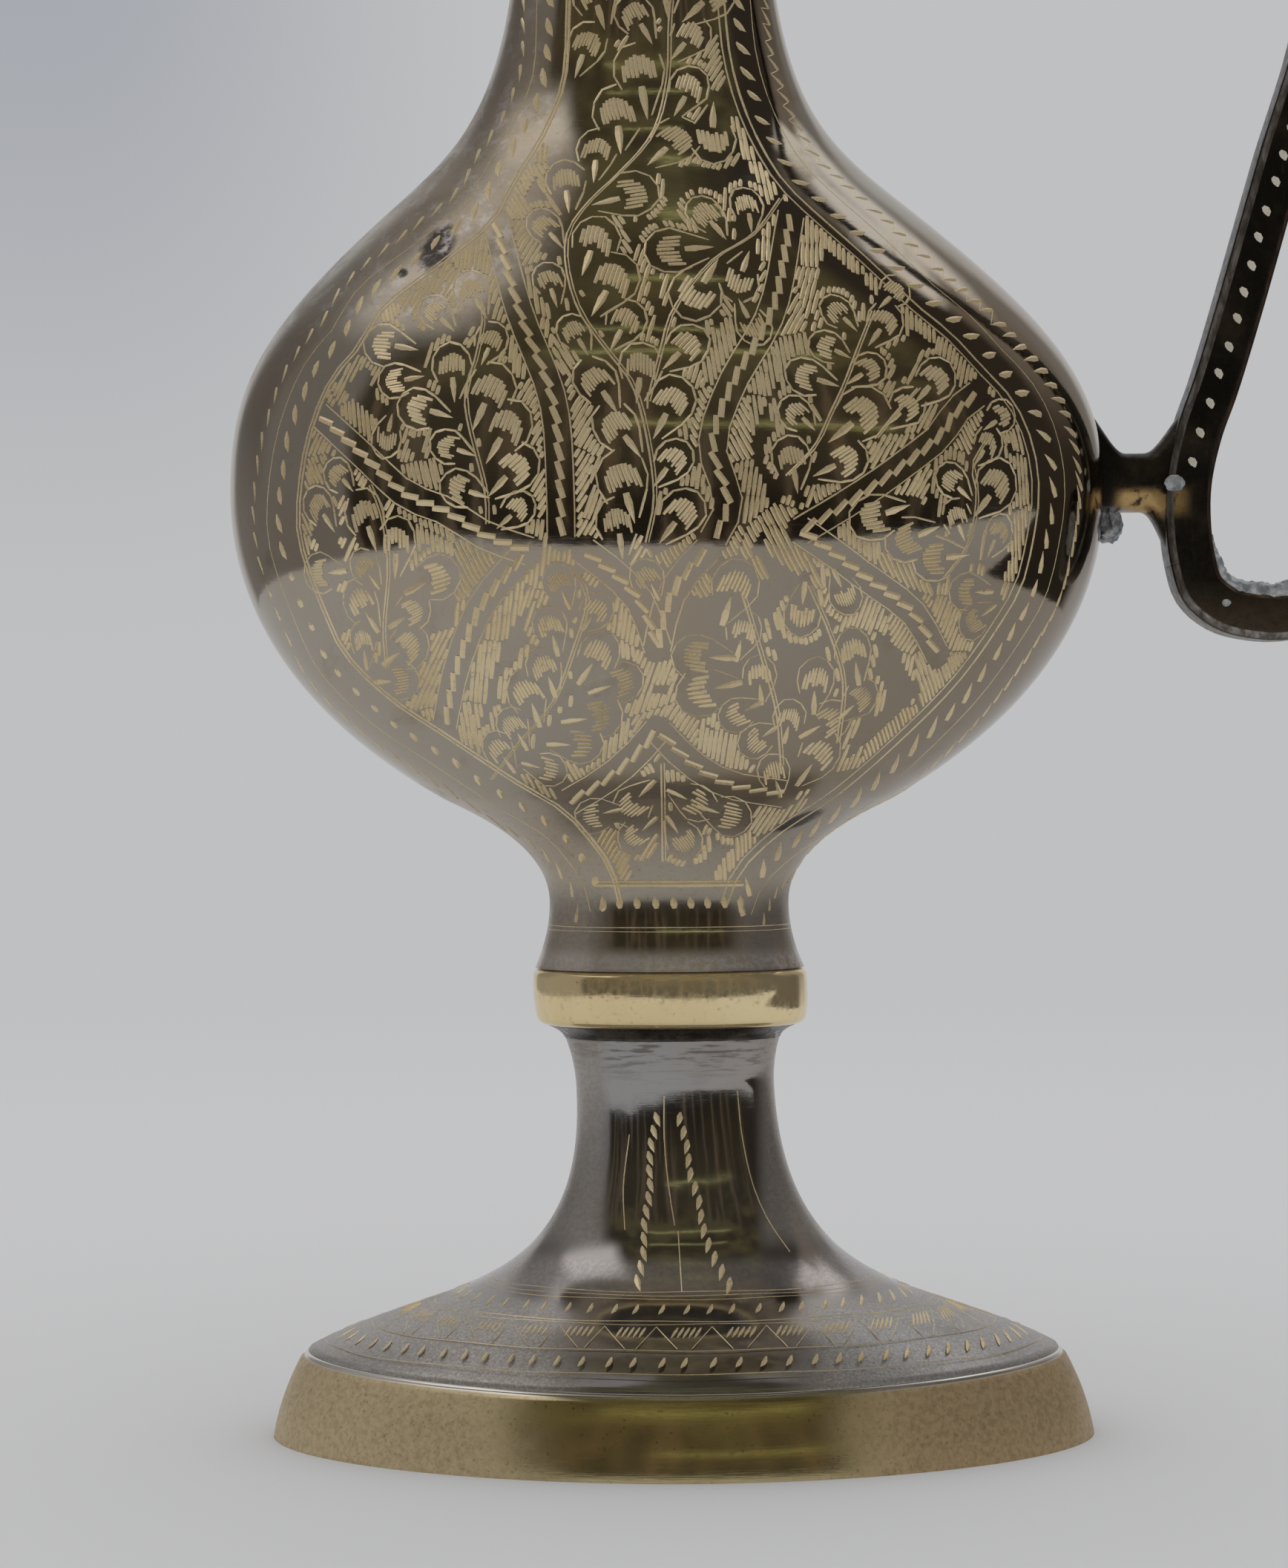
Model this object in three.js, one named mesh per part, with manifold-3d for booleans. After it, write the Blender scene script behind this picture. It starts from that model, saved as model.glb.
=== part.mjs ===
// Brass jug: a hollow oval foot, a flattened belly with a long neck, a flared mouth and a strap handle.
// Millimetres, +Z up. X runs across the wide face, with the handle on the +X side, and Y through its depth.

import * as THREE from 'three';
import { mergeVertices } from 'three/addons/utils/BufferGeometryUtils.js';
import Module from 'manifold-3d';

const wasm = await Module();
wasm.setup();

// Foot: a bare brass skirt that carries the tinned pedestal
const SKIRT_HEIGHT = 9.6;
const SKIRT_BOTTOM_HALF_WIDTH = 46;
const SKIRT_BOTTOM_HALF_DEPTH = 29.8;
const SKIRT_TOP_HALF_WIDTH = 42.5;
const SKIRT_TOP_HALF_DEPTH = 27.2;
const SKIRT_BULGE = 0.5;
const SKIRT_WALL = 2.2;
const FOOT_POWER = 1.87;

const PEDESTAL_WALL = 1.6;
const STEM_RISE = 29.4;
const STEM_FLARE_RISE = 7;
const STEM_HALF_WIDTH = 11.1;
const STEM_HALF_DEPTH = 8.6;
const STEM_TOP_HALF_WIDTH = 12.6;
const STEM_TOP_HALF_DEPTH = 9.9;
const STEM_STRAIGHTNESS = 24.5;
const DOME_CROWN = { inward: 13.8, upward: 7.5 };
const STEM_POWER = 2.15;

const FILLET_HEIGHT = 1.6;
const FILLET_REACH = 1.9;
const FILLET_EDGE = 0.6;

// Collar between foot and body, and the tube inside that joins them
const COLLAR_HEIGHT = 6.3;
const COLLAR_HALF_WIDTH = 15.4;
const COLLAR_HALF_DEPTH = 12.7;
const COLLAR_ROUNDING = 1.0;
const FERRULE_WALL = 1.3;
const FERRULE_INTO_STEM = 8;
const FERRULE_INTO_WAIST = 6;
const FLOOR_THICKNESS = 1.4;

// Body: two half shells with waist, belly, shoulder and neck
const BODY_WALL = 1.3;
const BODY_POWER = 2.1;
const FLANGE_HALF_WIDTH = 15.1;
const FLANGE_HALF_DEPTH = 12.4;
const WAIST_RISE = 7.3;
const WAIST_HALF_WIDTH = 13.4;
const WAIST_HALF_DEPTH = 11;
const BELLY_RISE = 45.8;
const BELLY_HALF_WIDTH = 48.9;
const BELLY_HALF_DEPTH = 31;
const NECK_RISE = 84.6;
const NECK_HALF_WIDTH = 13.3;
const NECK_HALF_DEPTH = 11.3;
const NECK_TOP_RISE = 14;

// Curves of the body's outline: how far each arc runs along its end's direction
const HIP = { halfWidth: 25.3, rise: 11.7, angle: 29.6, before: 2.2, after: 10.1 };
const SHOULDER = { halfWidth: 28.5, rise: 31.9, angle: 139.7, before: 20.9, after: 13.8 };
const WAIST_UPRIGHT = 6.9;
const BELLY_UPRIGHT_BELOW = 18.5;
const BELLY_UPRIGHT_ABOVE = 11.9;
const NECK_UPRIGHT = 38.8;

// Neck ring and mouth
const NECK_RING_HEIGHT = 4.8;
const NECK_RING_PROUD = 1.9;
const NECK_RING_ROUNDING = 1.2;
const MOUTH_HEIGHT = 45;
const MOUTH_HALF_WIDTH = 25;
const MOUTH_HALF_DEPTH = 19;
const MOUTH_SHIFT = 3.5;
const MOUTH_TILT = 0.11;
const MOUTH_WALL = 1.4;
const BEAK_LENGTH = 11;
const BEAK_PINCH = 0.34;
const MOUTH_STEPS = 9;
const RIM_HEIGHT = 2.8;
const RIM_PROUD = 0.9;

// Handle: strap, strut, tail, pad and the solder that shows
const STRAP_THICKNESS = 5.1;
const STRAP_DEPTH = 6.4;
const STRAP_CHAMFER = 1.2;
const STRUT_REACH = 9.4;
const STRUT_RISE = 0.9;
const STRUT_HALF_HEIGHT = 2.5;
const STRUT_HALF_DEPTH = 2.6;
const STRUT_FOOT_FLARE = 4;
const STRUT_HEAD_FLARE = 2.2;
const TAIL_DROP = 9.5;
const TAIL_TAPER = 20;
const TAIL_TIP_SIZE = 0.62;
const PAD_BELOW_RIM = 14;
const PAD_HALF_HEIGHT = 7;
const PAD_HALF_WIDTH = 5.5;
const PAD_THICKNESS = 1.4;
const TAIL_SOLDER_LENGTH = 12;
const TAIL_SOLDER_HEIGHT = 1.3;
const TAIL_SOLDER_HALF_DEPTH = 1.9;
const WEDGE_HEIGHT = 5;
const WEDGE_HALF_WIDTH = 2.6;
const WEDGE_HALF_DEPTH = 2.3;

// Handle centreline, as steps across and up: the lower part from the strut's end, the upper from the pad
const TAIL_CURL = [
    [14.9, -1.3], [19.9, -2.3], [21.9, -7.8], [17.9, -13.2],
    [11, -15.2], [7.2, -15.1], [3.9, -14.2], [1.4, -12.1],
];
const HANDLE_RISE = [[0.4, -9], [-0.1, -5.2], [0, 0], [1.3, 5.4], [3.6, 11.1], [12.2, 34.6], [17.4, 51]];
const HANDLE_ARCH = [[61, -47], [59.5, -27], [52, -8], [39, 5], [25, 9.5], [11, 7.5], [3, 2]];

// The jug was soldered up a little out of true: the stem leans away from the handle, and the neck again
const STEM_LEAN = 1.35;
const STEM_LEAN_ABOVE_SKIRT = 8.4;
const STEM_LEAN_RISE = 38;
const NECK_LEAN = 2.4;
const NECK_LEAN_RISE = 46;

// Clearances between pieces that are brazed together over a curved face, and inside the sleeve joint
const BRAZE_GAP = 0.3;
const SLEEVE_GAP = 0.25;

// Facets
const ROUND_STEPS = 28;
const STRAP_STEP = 4;
const BAR_SIDES = 12;
const BAR_STEPS = 14;
const CUT_SIZE = 600;
const CUT_OVERRUN = 1;

// Heights of the joints, from the table up
const skirtTop = SKIRT_HEIGHT;
const stemZ = skirtTop + STEM_RISE;
const pedestalTop = stemZ + STEM_FLARE_RISE;
const collarTop = pedestalTop + COLLAR_HEIGHT;
const waistZ = collarTop + WAIST_RISE;
const bellyZ = waistZ + BELLY_RISE;
const neckZ = bellyZ + NECK_RISE;
const bodyTop = neckZ + NECK_TOP_RISE;
const mouthBase = bodyTop + NECK_RING_HEIGHT;
const rimZ = mouthBase + MOUTH_HEIGHT;
const ferruleLow = pedestalTop - FERRULE_INTO_STEM;
const ferruleTop = collarTop + FERRULE_INTO_WAIST;

// Materials
const tinned = { color: 0x8f8a80, roughness: 0.28, metalness: 1 };
const brass = { color: 0xb3924f, roughness: 0.32, metalness: 1 };
const darkBronze = { color: 0x2e2924, roughness: 0.45, metalness: 1 };
const solder = { color: 0x8d8f92, roughness: 0.6, metalness: 1 };

// Oval sections

function ovalPoint(angle, halfWidth, halfDepth, power) {
    const c = Math.cos(angle);
    const s = Math.sin(angle);
    const across = Math.sign(c) * halfWidth * Math.abs(c) ** (2 / power);
    const along = Math.sign(s) * halfDepth * Math.abs(s) ** (2 / power);
    return [across, along];
}

function ovalRing({ z, halfWidth, halfDepth, power = 2, shift = 0, tilt = 0, beak = 0 }) {
    const ring = [];
    for (let i = 0; i < ROUND_STEPS; i++) {
        const angle = (2 * Math.PI * i) / ROUND_STEPS;
        const [across, along] = ovalPoint(angle, halfWidth, halfDepth, power);
        const towardsBeak = Math.max(0, -Math.cos(angle)) ** 3;
        const x = shift + across - BEAK_LENGTH * beak * towardsBeak;
        const y = along * (1 - BEAK_PINCH * beak * towardsBeak);
        ring.push(new THREE.Vector3(x, y, z - tilt * x));
    }
    return ring;
}

// Stations moved out by an offset measured square to the wall
function grow(stations, offset) {
    return stations.map((station, i) => {
        const before = stations[Math.max(0, i - 1)];
        const after = stations[Math.min(stations.length - 1, i + 1)];
        const rise = after.z - before.z;
        const slant = (key) => Math.hypot(1, (after[key] - before[key]) / rise);
        return {
            ...station,
            halfWidth: station.halfWidth + offset * slant('halfWidth'),
            halfDepth: station.halfDepth + offset * slant('halfDepth'),
        };
    });
}

// Closed surfaces from rings of points

function skin(rings, closed) {
    const count = rings[0].length;
    const points = rings.flat();
    const faces = [];
    const spans = closed ? rings.length : rings.length - 1;
    for (let i = 0; i < spans; i++) {
        const low = i * count;
        const high = ((i + 1) % rings.length) * count;
        for (let j = 0; j < count; j++) {
            const k = (j + 1) % count;
            faces.push(low + j, low + k, high + k, low + j, high + k, high + j);
        }
    }
    if (!closed) {
        const last = (rings.length - 1) * count;
        const bottomCentre = points.push(centreOf(rings[0])) - 1;
        const topCentre = points.push(centreOf(rings.at(-1))) - 1;
        for (let j = 0; j < count; j++) {
            const k = (j + 1) % count;
            faces.push(bottomCentre, k, j, topCentre, last + j, last + k);
        }
    }
    return new THREE.BufferGeometry().setFromPoints(points).setIndex(faces);
}

function centreOf(ring) {
    const centre = new THREE.Vector3();
    ring.forEach((point) => centre.add(point));
    return centre.divideScalar(ring.length);
}

function loft(stations) {
    return skin(stations.map(ovalRing), false);
}

function band(stations) {
    return skin(stations.map(ovalRing), true);
}

// A loft that runs past both ends of another, to open it
function openingLoft(stations) {
    const rings = stations.map(ovalRing);
    const moved = (ring, rise) => ring.map((point) => point.clone().add(new THREE.Vector3(0, 0, rise)));
    return skin([moved(rings[0], -CUT_OVERRUN), ...rings, moved(rings.at(-1), CUT_OVERRUN)], false);
}

// Cuts and joins

function toSolid(geometry) {
    const bare = geometry.clone();
    bare.deleteAttribute('normal');
    bare.deleteAttribute('uv');
    const merged = mergeVertices(bare, 1e-5);
    const vertProperties = new Float32Array(merged.attributes.position.array);
    const triVerts = new Uint32Array(merged.index.array);
    return new wasm.Manifold(new wasm.Mesh({ numProp: 3, vertProperties, triVerts }));
}

function toGeometry(solid) {
    const { vertProperties, triVerts } = solid.getMesh();
    const geometry = new THREE.BufferGeometry();
    geometry.setAttribute('position', new THREE.BufferAttribute(new Float32Array(vertProperties), 3));
    geometry.setIndex(new THREE.BufferAttribute(new Uint32Array(triVerts), 1));
    return geometry;
}

function cut(geometry, ...tools) {
    return toGeometry(tools.reduce((solid, tool) => solid.subtract(toSolid(tool)), toSolid(geometry)));
}

function common(geometry, tool) {
    return toGeometry(toSolid(geometry).intersect(toSolid(tool)));
}

function blockBetween(low, high) {
    const size = high.map((value, i) => value - low[i]);
    const middle = high.map((value, i) => (value + low[i]) / 2);
    return new THREE.BoxGeometry(...size).translate(...middle);
}

// Foot

function skirtStations(inset) {
    const levels = [0, 0.25, 0.5, 0.75, 1];
    return levels.map((t) => ({
        z: t * SKIRT_HEIGHT,
        halfWidth: THREE.MathUtils.lerp(SKIRT_BOTTOM_HALF_WIDTH, SKIRT_TOP_HALF_WIDTH, t)
            + 4 * t * (1 - t) * SKIRT_BULGE - inset,
        halfDepth: THREE.MathUtils.lerp(SKIRT_BOTTOM_HALF_DEPTH, SKIRT_TOP_HALF_DEPTH, t)
            + 4 * t * (1 - t) * SKIRT_BULGE - inset,
        power: FOOT_POWER,
    }));
}

function footSkirt() {
    const outer = skirtStations(0);
    const inner = [skirtStations(SKIRT_WALL)[0], skirtStations(SKIRT_WALL).at(-1)];
    return band([...outer, ...inner.reverse()]);
}

// Dome and stem in one sweep from the skirt's top to the collar
function pedestalStations() {
    const dome = new THREE.CubicBezierCurve(
        new THREE.Vector2(SKIRT_TOP_HALF_WIDTH, skirtTop),
        new THREE.Vector2(SKIRT_TOP_HALF_WIDTH - DOME_CROWN.inward, skirtTop + DOME_CROWN.upward),
        new THREE.Vector2(STEM_HALF_WIDTH, stemZ - STEM_STRAIGHTNESS),
        new THREE.Vector2(STEM_HALF_WIDTH, stemZ),
    );
    const flare = new THREE.QuadraticBezierCurve(
        new THREE.Vector2(STEM_HALF_WIDTH, stemZ),
        new THREE.Vector2(STEM_HALF_WIDTH, (stemZ + pedestalTop) / 2),
        new THREE.Vector2(STEM_TOP_HALF_WIDTH, pedestalTop),
    );
    const domeStations = dome.getPoints(11).map(({ x, y }) => ({
        z: y,
        halfWidth: x,
        halfDepth: THREE.MathUtils.mapLinear(
            x, STEM_HALF_WIDTH, SKIRT_TOP_HALF_WIDTH, STEM_HALF_DEPTH, SKIRT_TOP_HALF_DEPTH),
        power: THREE.MathUtils.mapLinear(x, STEM_HALF_WIDTH, SKIRT_TOP_HALF_WIDTH, STEM_POWER, FOOT_POWER),
    }));
    const flareStations = flare.getPoints(3).slice(1).map(({ x, y }) => ({
        z: y,
        halfWidth: x,
        halfDepth: THREE.MathUtils.mapLinear(
            x, STEM_HALF_WIDTH, STEM_TOP_HALF_WIDTH, STEM_HALF_DEPTH, STEM_TOP_HALF_DEPTH),
        power: STEM_POWER,
    }));
    return [...domeStations, ...flareStations];
}

function stemBore(clearance) {
    return {
        halfWidth: STEM_HALF_WIDTH - PEDESTAL_WALL - clearance,
        halfDepth: STEM_HALF_DEPTH - PEDESTAL_WALL - clearance,
        power: STEM_POWER,
    };
}

// The bore follows the wall, and stays as straight as the sleeve that sits in the stem
function footPedestal() {
    const bore = stemBore(0);
    const inner = grow(pedestalStations(), -PEDESTAL_WALL).map((station) => (
        station.z > ferruleLow - PEDESTAL_WALL ? { ...station, ...bore } : station
    ));
    return cut(loft(pedestalStations()), openingLoft(inner));
}

function pedestalSolder() {
    const wall = (reach) => ({
        halfWidth: STEM_TOP_HALF_WIDTH + reach,
        halfDepth: STEM_TOP_HALF_DEPTH + reach,
        power: STEM_POWER,
    });
    return band([
        { z: pedestalTop - FILLET_HEIGHT, ...wall(BRAZE_GAP + FILLET_EDGE) },
        { z: pedestalTop - FILLET_HEIGHT / 2, ...wall(BRAZE_GAP + (FILLET_EDGE + FILLET_REACH) / 2.6) },
        { z: pedestalTop, ...wall(BRAZE_GAP + FILLET_REACH) },
        { z: pedestalTop, ...wall(BRAZE_GAP) },
        { z: pedestalTop - FILLET_HEIGHT, ...wall(BRAZE_GAP) },
    ]);
}

// Collar, sleeve joint and vessel floor

// A ring with rounded outer edges and a straight bore
function roundedRing(low, height, outer, rounding, bore) {
    const corner = (angle, z) => ({
        z: z + rounding * Math.sin(angle),
        halfWidth: outer.halfWidth - rounding * (1 - Math.cos(angle)),
        halfDepth: outer.halfDepth - rounding * (1 - Math.cos(angle)),
        power: outer.power,
    });
    const quarter = Math.PI / 2;
    return band([
        corner(-quarter, low + rounding),
        corner(-quarter / 2, low + rounding),
        corner(0, low + rounding),
        corner(0, low + height - rounding),
        corner(quarter / 2, low + height - rounding),
        corner(quarter, low + height - rounding),
        { z: low + height, ...bore },
        { z: low, ...bore },
    ]);
}

function collarRing() {
    const outer = { halfWidth: COLLAR_HALF_WIDTH, halfDepth: COLLAR_HALF_DEPTH, power: STEM_POWER };
    return roundedRing(pedestalTop, COLLAR_HEIGHT, outer, COLLAR_ROUNDING, stemBore(0));
}

function jointFerrule() {
    const outer = stemBore(SLEEVE_GAP);
    const inner = stemBore(SLEEVE_GAP + FERRULE_WALL);
    return band([
        { z: ferruleLow, ...outer },
        { z: ferruleTop, ...outer },
        { z: ferruleTop, ...inner },
        { z: ferruleLow, ...inner },
    ]);
}

function vesselFloor() {
    const stations = grow(bodyStations, -BODY_WALL - BRAZE_GAP);
    const narrowest = stations.reduce((a, b) => (a.halfWidth < b.halfWidth ? a : b));
    return loft([{ ...narrowest, z: ferruleTop }, { ...narrowest, z: ferruleTop + FLOOR_THICKNESS }]);
}

// Body

// Two arcs that meet at a leaning middle point, from one upright end to the other
function doubleBend(startWidth, startZ, startUpright, bend, endWidth, endZ, endUpright) {
    const lean = THREE.MathUtils.degToRad(bend.angle);
    const along = new THREE.Vector2(Math.cos(lean), Math.sin(lean));
    const middle = new THREE.Vector2(bend.halfWidth, startZ + bend.rise);
    const first = new THREE.CubicBezierCurve(
        new THREE.Vector2(startWidth, startZ),
        new THREE.Vector2(startWidth, startZ + startUpright),
        middle.clone().addScaledVector(along, -bend.before),
        middle,
    );
    const second = new THREE.CubicBezierCurve(
        middle,
        middle.clone().addScaledVector(along, bend.after),
        new THREE.Vector2(endWidth, endZ - endUpright),
        new THREE.Vector2(endWidth, endZ),
    );
    return [...first.getPoints(5), ...second.getPoints(6).slice(1)];
}

// Stations along an outline, whose depth follows the width from one section to another
function flankStations(points, from, to) {
    return points.map(({ x, y }) => ({
        z: y,
        halfWidth: x,
        halfDepth: THREE.MathUtils.mapLinear(x, from.halfWidth, to.halfWidth, from.halfDepth, to.halfDepth),
        power: BODY_POWER,
    }));
}

function makeBodyStations() {
    const flange = new THREE.QuadraticBezierCurve(
        new THREE.Vector2(FLANGE_HALF_WIDTH, collarTop),
        new THREE.Vector2(WAIST_HALF_WIDTH, (collarTop + waistZ) / 2),
        new THREE.Vector2(WAIST_HALF_WIDTH, waistZ),
    ).getPoints(4);
    const hip = doubleBend(
        WAIST_HALF_WIDTH, waistZ, WAIST_UPRIGHT, HIP, BELLY_HALF_WIDTH, bellyZ, BELLY_UPRIGHT_BELOW);
    const shoulder = doubleBend(
        BELLY_HALF_WIDTH, bellyZ, BELLY_UPRIGHT_ABOVE, SHOULDER, NECK_HALF_WIDTH, neckZ, NECK_UPRIGHT);
    const waist = { halfWidth: WAIST_HALF_WIDTH, halfDepth: WAIST_HALF_DEPTH };
    const flangeEdge = { halfWidth: FLANGE_HALF_WIDTH, halfDepth: FLANGE_HALF_DEPTH };
    const belly = { halfWidth: BELLY_HALF_WIDTH, halfDepth: BELLY_HALF_DEPTH };
    const neck = { halfWidth: NECK_HALF_WIDTH, halfDepth: NECK_HALF_DEPTH, power: BODY_POWER };
    return [
        ...flankStations(flange, waist, flangeEdge),
        ...flankStations(hip, waist, belly).slice(1),
        ...flankStations(shoulder, neck, belly).slice(1),
        { z: bodyTop, ...neck },
    ];
}

const bodyStations = makeBodyStations();

function bodyHalf(side) {
    const shell = cut(loft(bodyStations), openingLoft(grow(bodyStations, -BODY_WALL)));
    const low = [-CUT_SIZE, side < 0 ? -CUT_SIZE : 0, -CUT_SIZE];
    const high = [CUT_SIZE, side < 0 ? 0 : CUT_SIZE, CUT_SIZE];
    return common(shell, blockBetween(low, high));
}

// Neck ring, mouth and rim

function neckBore() {
    return {
        halfWidth: NECK_HALF_WIDTH - BODY_WALL,
        halfDepth: NECK_HALF_DEPTH - BODY_WALL,
        power: BODY_POWER,
    };
}

function neckRing() {
    const outer = {
        halfWidth: NECK_HALF_WIDTH + NECK_RING_PROUD,
        halfDepth: NECK_HALF_DEPTH + NECK_RING_PROUD,
        power: BODY_POWER,
    };
    return roundedRing(bodyTop, NECK_RING_HEIGHT, outer, NECK_RING_ROUNDING, neckBore());
}

function mouthStation(t) {
    const opening = t * t;
    return {
        z: mouthBase + t * MOUTH_HEIGHT,
        halfWidth: THREE.MathUtils.lerp(NECK_HALF_WIDTH, MOUTH_HALF_WIDTH, opening),
        halfDepth: THREE.MathUtils.lerp(NECK_HALF_DEPTH, MOUTH_HALF_DEPTH, opening),
        power: BODY_POWER,
        shift: -MOUTH_SHIFT * opening,
        tilt: MOUTH_TILT * opening,
        beak: opening,
    };
}

const mouthStations = Array.from({ length: MOUTH_STEPS + 1 }, (_, i) => mouthStation(i / MOUTH_STEPS));

function mouthFunnel() {
    return cut(loft(mouthStations), openingLoft(grow(mouthStations, -MOUTH_WALL)));
}

function rimBand() {
    const lip = mouthStations.at(-1);
    const rimSection = (rise, offset) => ({
        ...lip,
        z: lip.z + BRAZE_GAP + rise,
        halfWidth: lip.halfWidth + offset,
        halfDepth: lip.halfDepth + offset,
    });
    const slope = (MOUTH_HALF_WIDTH - mouthStations.at(-2).halfWidth) / (lip.z - mouthStations.at(-2).z);
    const inside = -MOUTH_WALL * Math.hypot(1, slope) - BRAZE_GAP;
    return band([
        rimSection(0, 0),
        rimSection(RIM_HEIGHT * 0.3, RIM_PROUD),
        rimSection(RIM_HEIGHT * 0.7, RIM_PROUD),
        rimSection(RIM_HEIGHT, 0),
        rimSection(RIM_HEIGHT, inside / 2),
        rimSection(RIM_HEIGHT * 0.7, inside),
        rimSection(0, inside),
    ]);
}

// Handle

const strutZ = bellyZ + STRUT_RISE;
const strapX = BELLY_HALF_WIDTH + STRUT_REACH;
const padZ = rimZ - PAD_BELOW_RIM;
const padStation = mouthStation((padZ - mouthBase) / MOUTH_HEIGHT);
const padX = padStation.shift + padStation.halfWidth + PAD_THICKNESS + BRAZE_GAP;

function handleCurve() {
    const fromStrut = ([across, up]) => new THREE.Vector3(strapX + across, 0, strutZ + up);
    const fromPad = ([across, up]) => new THREE.Vector3(padX + across, 0, padZ + up);
    const intoPad = fromPad([-STRAP_THICKNESS / 2, -STRAP_THICKNESS / 4]);
    return new THREE.CatmullRomCurve3([
        ...TAIL_CURL.map(fromStrut), ...HANDLE_RISE.map(fromStrut), ...HANDLE_ARCH.map(fromPad), intoPad,
    ]);
}

const strapCurve = handleCurve();
const strapLength = strapCurve.getLength();

// Distance along the strap to the place below the strut where its two castings meet
function meetingLength() {
    const steps = 1000;
    const isReached = ({ x, z }) => z >= strutZ - TAIL_DROP && x < strapX + STRAP_THICKNESS;
    let i = 0;
    while (i < steps && !isReached(strapCurve.getPointAt(i / steps))) i++;
    return (i / steps) * strapLength;
}

const tailLength = meetingLength();

function strapSection(halfThickness, halfDepth, chamfer) {
    const thin = halfThickness - chamfer;
    const shallow = halfDepth - chamfer;
    return [
        [halfThickness, -shallow], [halfThickness, shallow], [thin, halfDepth], [-thin, halfDepth],
        [-halfThickness, shallow], [-halfThickness, -shallow], [-thin, -halfDepth], [thin, -halfDepth],
    ];
}

// A bar along the strap's centreline, whose section is given for each distance along it
function alongStrap(from, to, sectionAt, step) {
    const count = Math.max(2, Math.round((to - from) / step));
    const rings = [];
    for (let i = 0; i <= count; i++) {
        const share = i / count;
        const at = THREE.MathUtils.lerp(from, to, share) / strapLength;
        const centre = strapCurve.getPointAt(at);
        const tangent = strapCurve.getTangentAt(at);
        const outward = new THREE.Vector3(tangent.z, 0, -tangent.x);
        rings.push(sectionAt(share).map(([across, along]) => (
            centre.clone().addScaledVector(outward, across).add(new THREE.Vector3(0, along, 0))
        )));
    }
    return skin(rings, false);
}

function strap(from, to, margin) {
    const section = strapSection(STRAP_THICKNESS / 2 + margin, STRAP_DEPTH / 2 + margin, STRAP_CHAMFER);
    return alongStrap(from, to, () => section, STRAP_STEP);
}

function handleGrip() {
    const padFace = grow(mouthStations, BRAZE_GAP + PAD_THICKNESS + BRAZE_GAP);
    return cut(strap(tailLength + BRAZE_GAP, strapLength, 0), loft(padFace));
}

function handleTail() {
    const full = strapSection(STRAP_THICKNESS / 2, STRAP_DEPTH / 2, STRAP_CHAMFER);
    const sectionAt = (share) => {
        const grown = Math.min(1, (share * tailLength) / TAIL_TAPER);
        const size = THREE.MathUtils.lerp(TAIL_TIP_SIZE, 1, grown);
        return full.map(([across, along]) => [across * size, along * size]);
    };
    return alongStrap(0, tailLength, sectionAt, STRAP_STEP / 2);
}

function tailSolder() {
    const seat = STRAP_THICKNESS / 2 + BRAZE_GAP;
    const sectionAt = (share) => {
        const swell = 0.45 + 0.55 * Math.sin(Math.PI * share);
        return [
            [seat, -TAIL_SOLDER_HALF_DEPTH * swell],
            [seat + TAIL_SOLDER_HEIGHT * swell, -TAIL_SOLDER_HALF_DEPTH * swell * 0.5],
            [seat + TAIL_SOLDER_HEIGHT * swell, TAIL_SOLDER_HALF_DEPTH * swell * 0.5],
            [seat, TAIL_SOLDER_HALF_DEPTH * swell],
        ];
    };
    return alongStrap(tailLength - TAIL_SOLDER_LENGTH, tailLength, sectionAt, STRAP_STEP / 2);
}

// Oval outline that faces along X
function barRing(x, z, halfDepth, halfHeight) {
    return Array.from({ length: BAR_SIDES }, (_, i) => {
        const [across, up] = ovalPoint((2 * Math.PI * i) / BAR_SIDES, halfDepth, halfHeight, STEM_POWER);
        return new THREE.Vector3(x, across, z + up);
    });
}

// Strut between belly and strap, flared at both ends
function strutBar(margin) {
    const from = BELLY_HALF_WIDTH - STRUT_FOOT_FLARE;
    const to = strapX;
    const rings = [];
    for (let i = 0; i <= BAR_STEPS; i++) {
        const t = i / BAR_STEPS;
        const foot = STRUT_FOOT_FLARE * Math.max(0, 1 - t * 1.7) ** 2;
        const head = STRUT_HEAD_FLARE * Math.max(0, t * 2 - 1) ** 2;
        const halfHeight = STRUT_HALF_HEIGHT + foot + head + margin;
        const halfDepth = STRUT_HALF_DEPTH + (foot + head) / 3 + margin;
        const x = THREE.MathUtils.lerp(from, to, t);
        rings.push(barRing(x, strutZ, halfDepth, halfHeight));
    }
    return skin(rings, false);
}

function bodyFace(offset) {
    return loft(grow(bodyStations, offset));
}

function handleStrut() {
    const strapFace = strap(0, strapLength / 2, BRAZE_GAP);
    return cut(strutBar(0), bodyFace(BRAZE_GAP), strapFace);
}

// Solder wedge that fills the corner under the strut's foot
function strutSolder() {
    const top = strutZ - STRUT_HALF_HEIGHT;
    const low = top - WEDGE_HEIGHT;
    const section = (z, size) => ({
        z,
        halfWidth: WEDGE_HALF_WIDTH * size,
        halfDepth: WEDGE_HALF_DEPTH * size,
        shift: BELLY_HALF_WIDTH,
    });
    const wedge = loft([section(low, 0.45), section((low + top) / 2, 0.7), section(top, 1)]);
    return cut(wedge, bodyFace(BRAZE_GAP), strutBar(BRAZE_GAP));
}

function handleTopPad() {
    const plate = cut(
        loft(grow(mouthStations, BRAZE_GAP + PAD_THICKNESS)),
        openingLoft(grow(mouthStations, BRAZE_GAP)),
    );
    const leaf = skin([0, CUT_SIZE].map((x) => barRing(x, padZ, PAD_HALF_WIDTH, PAD_HALF_HEIGHT)), false);
    return common(plate, leaf);
}

// Assembly

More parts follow.
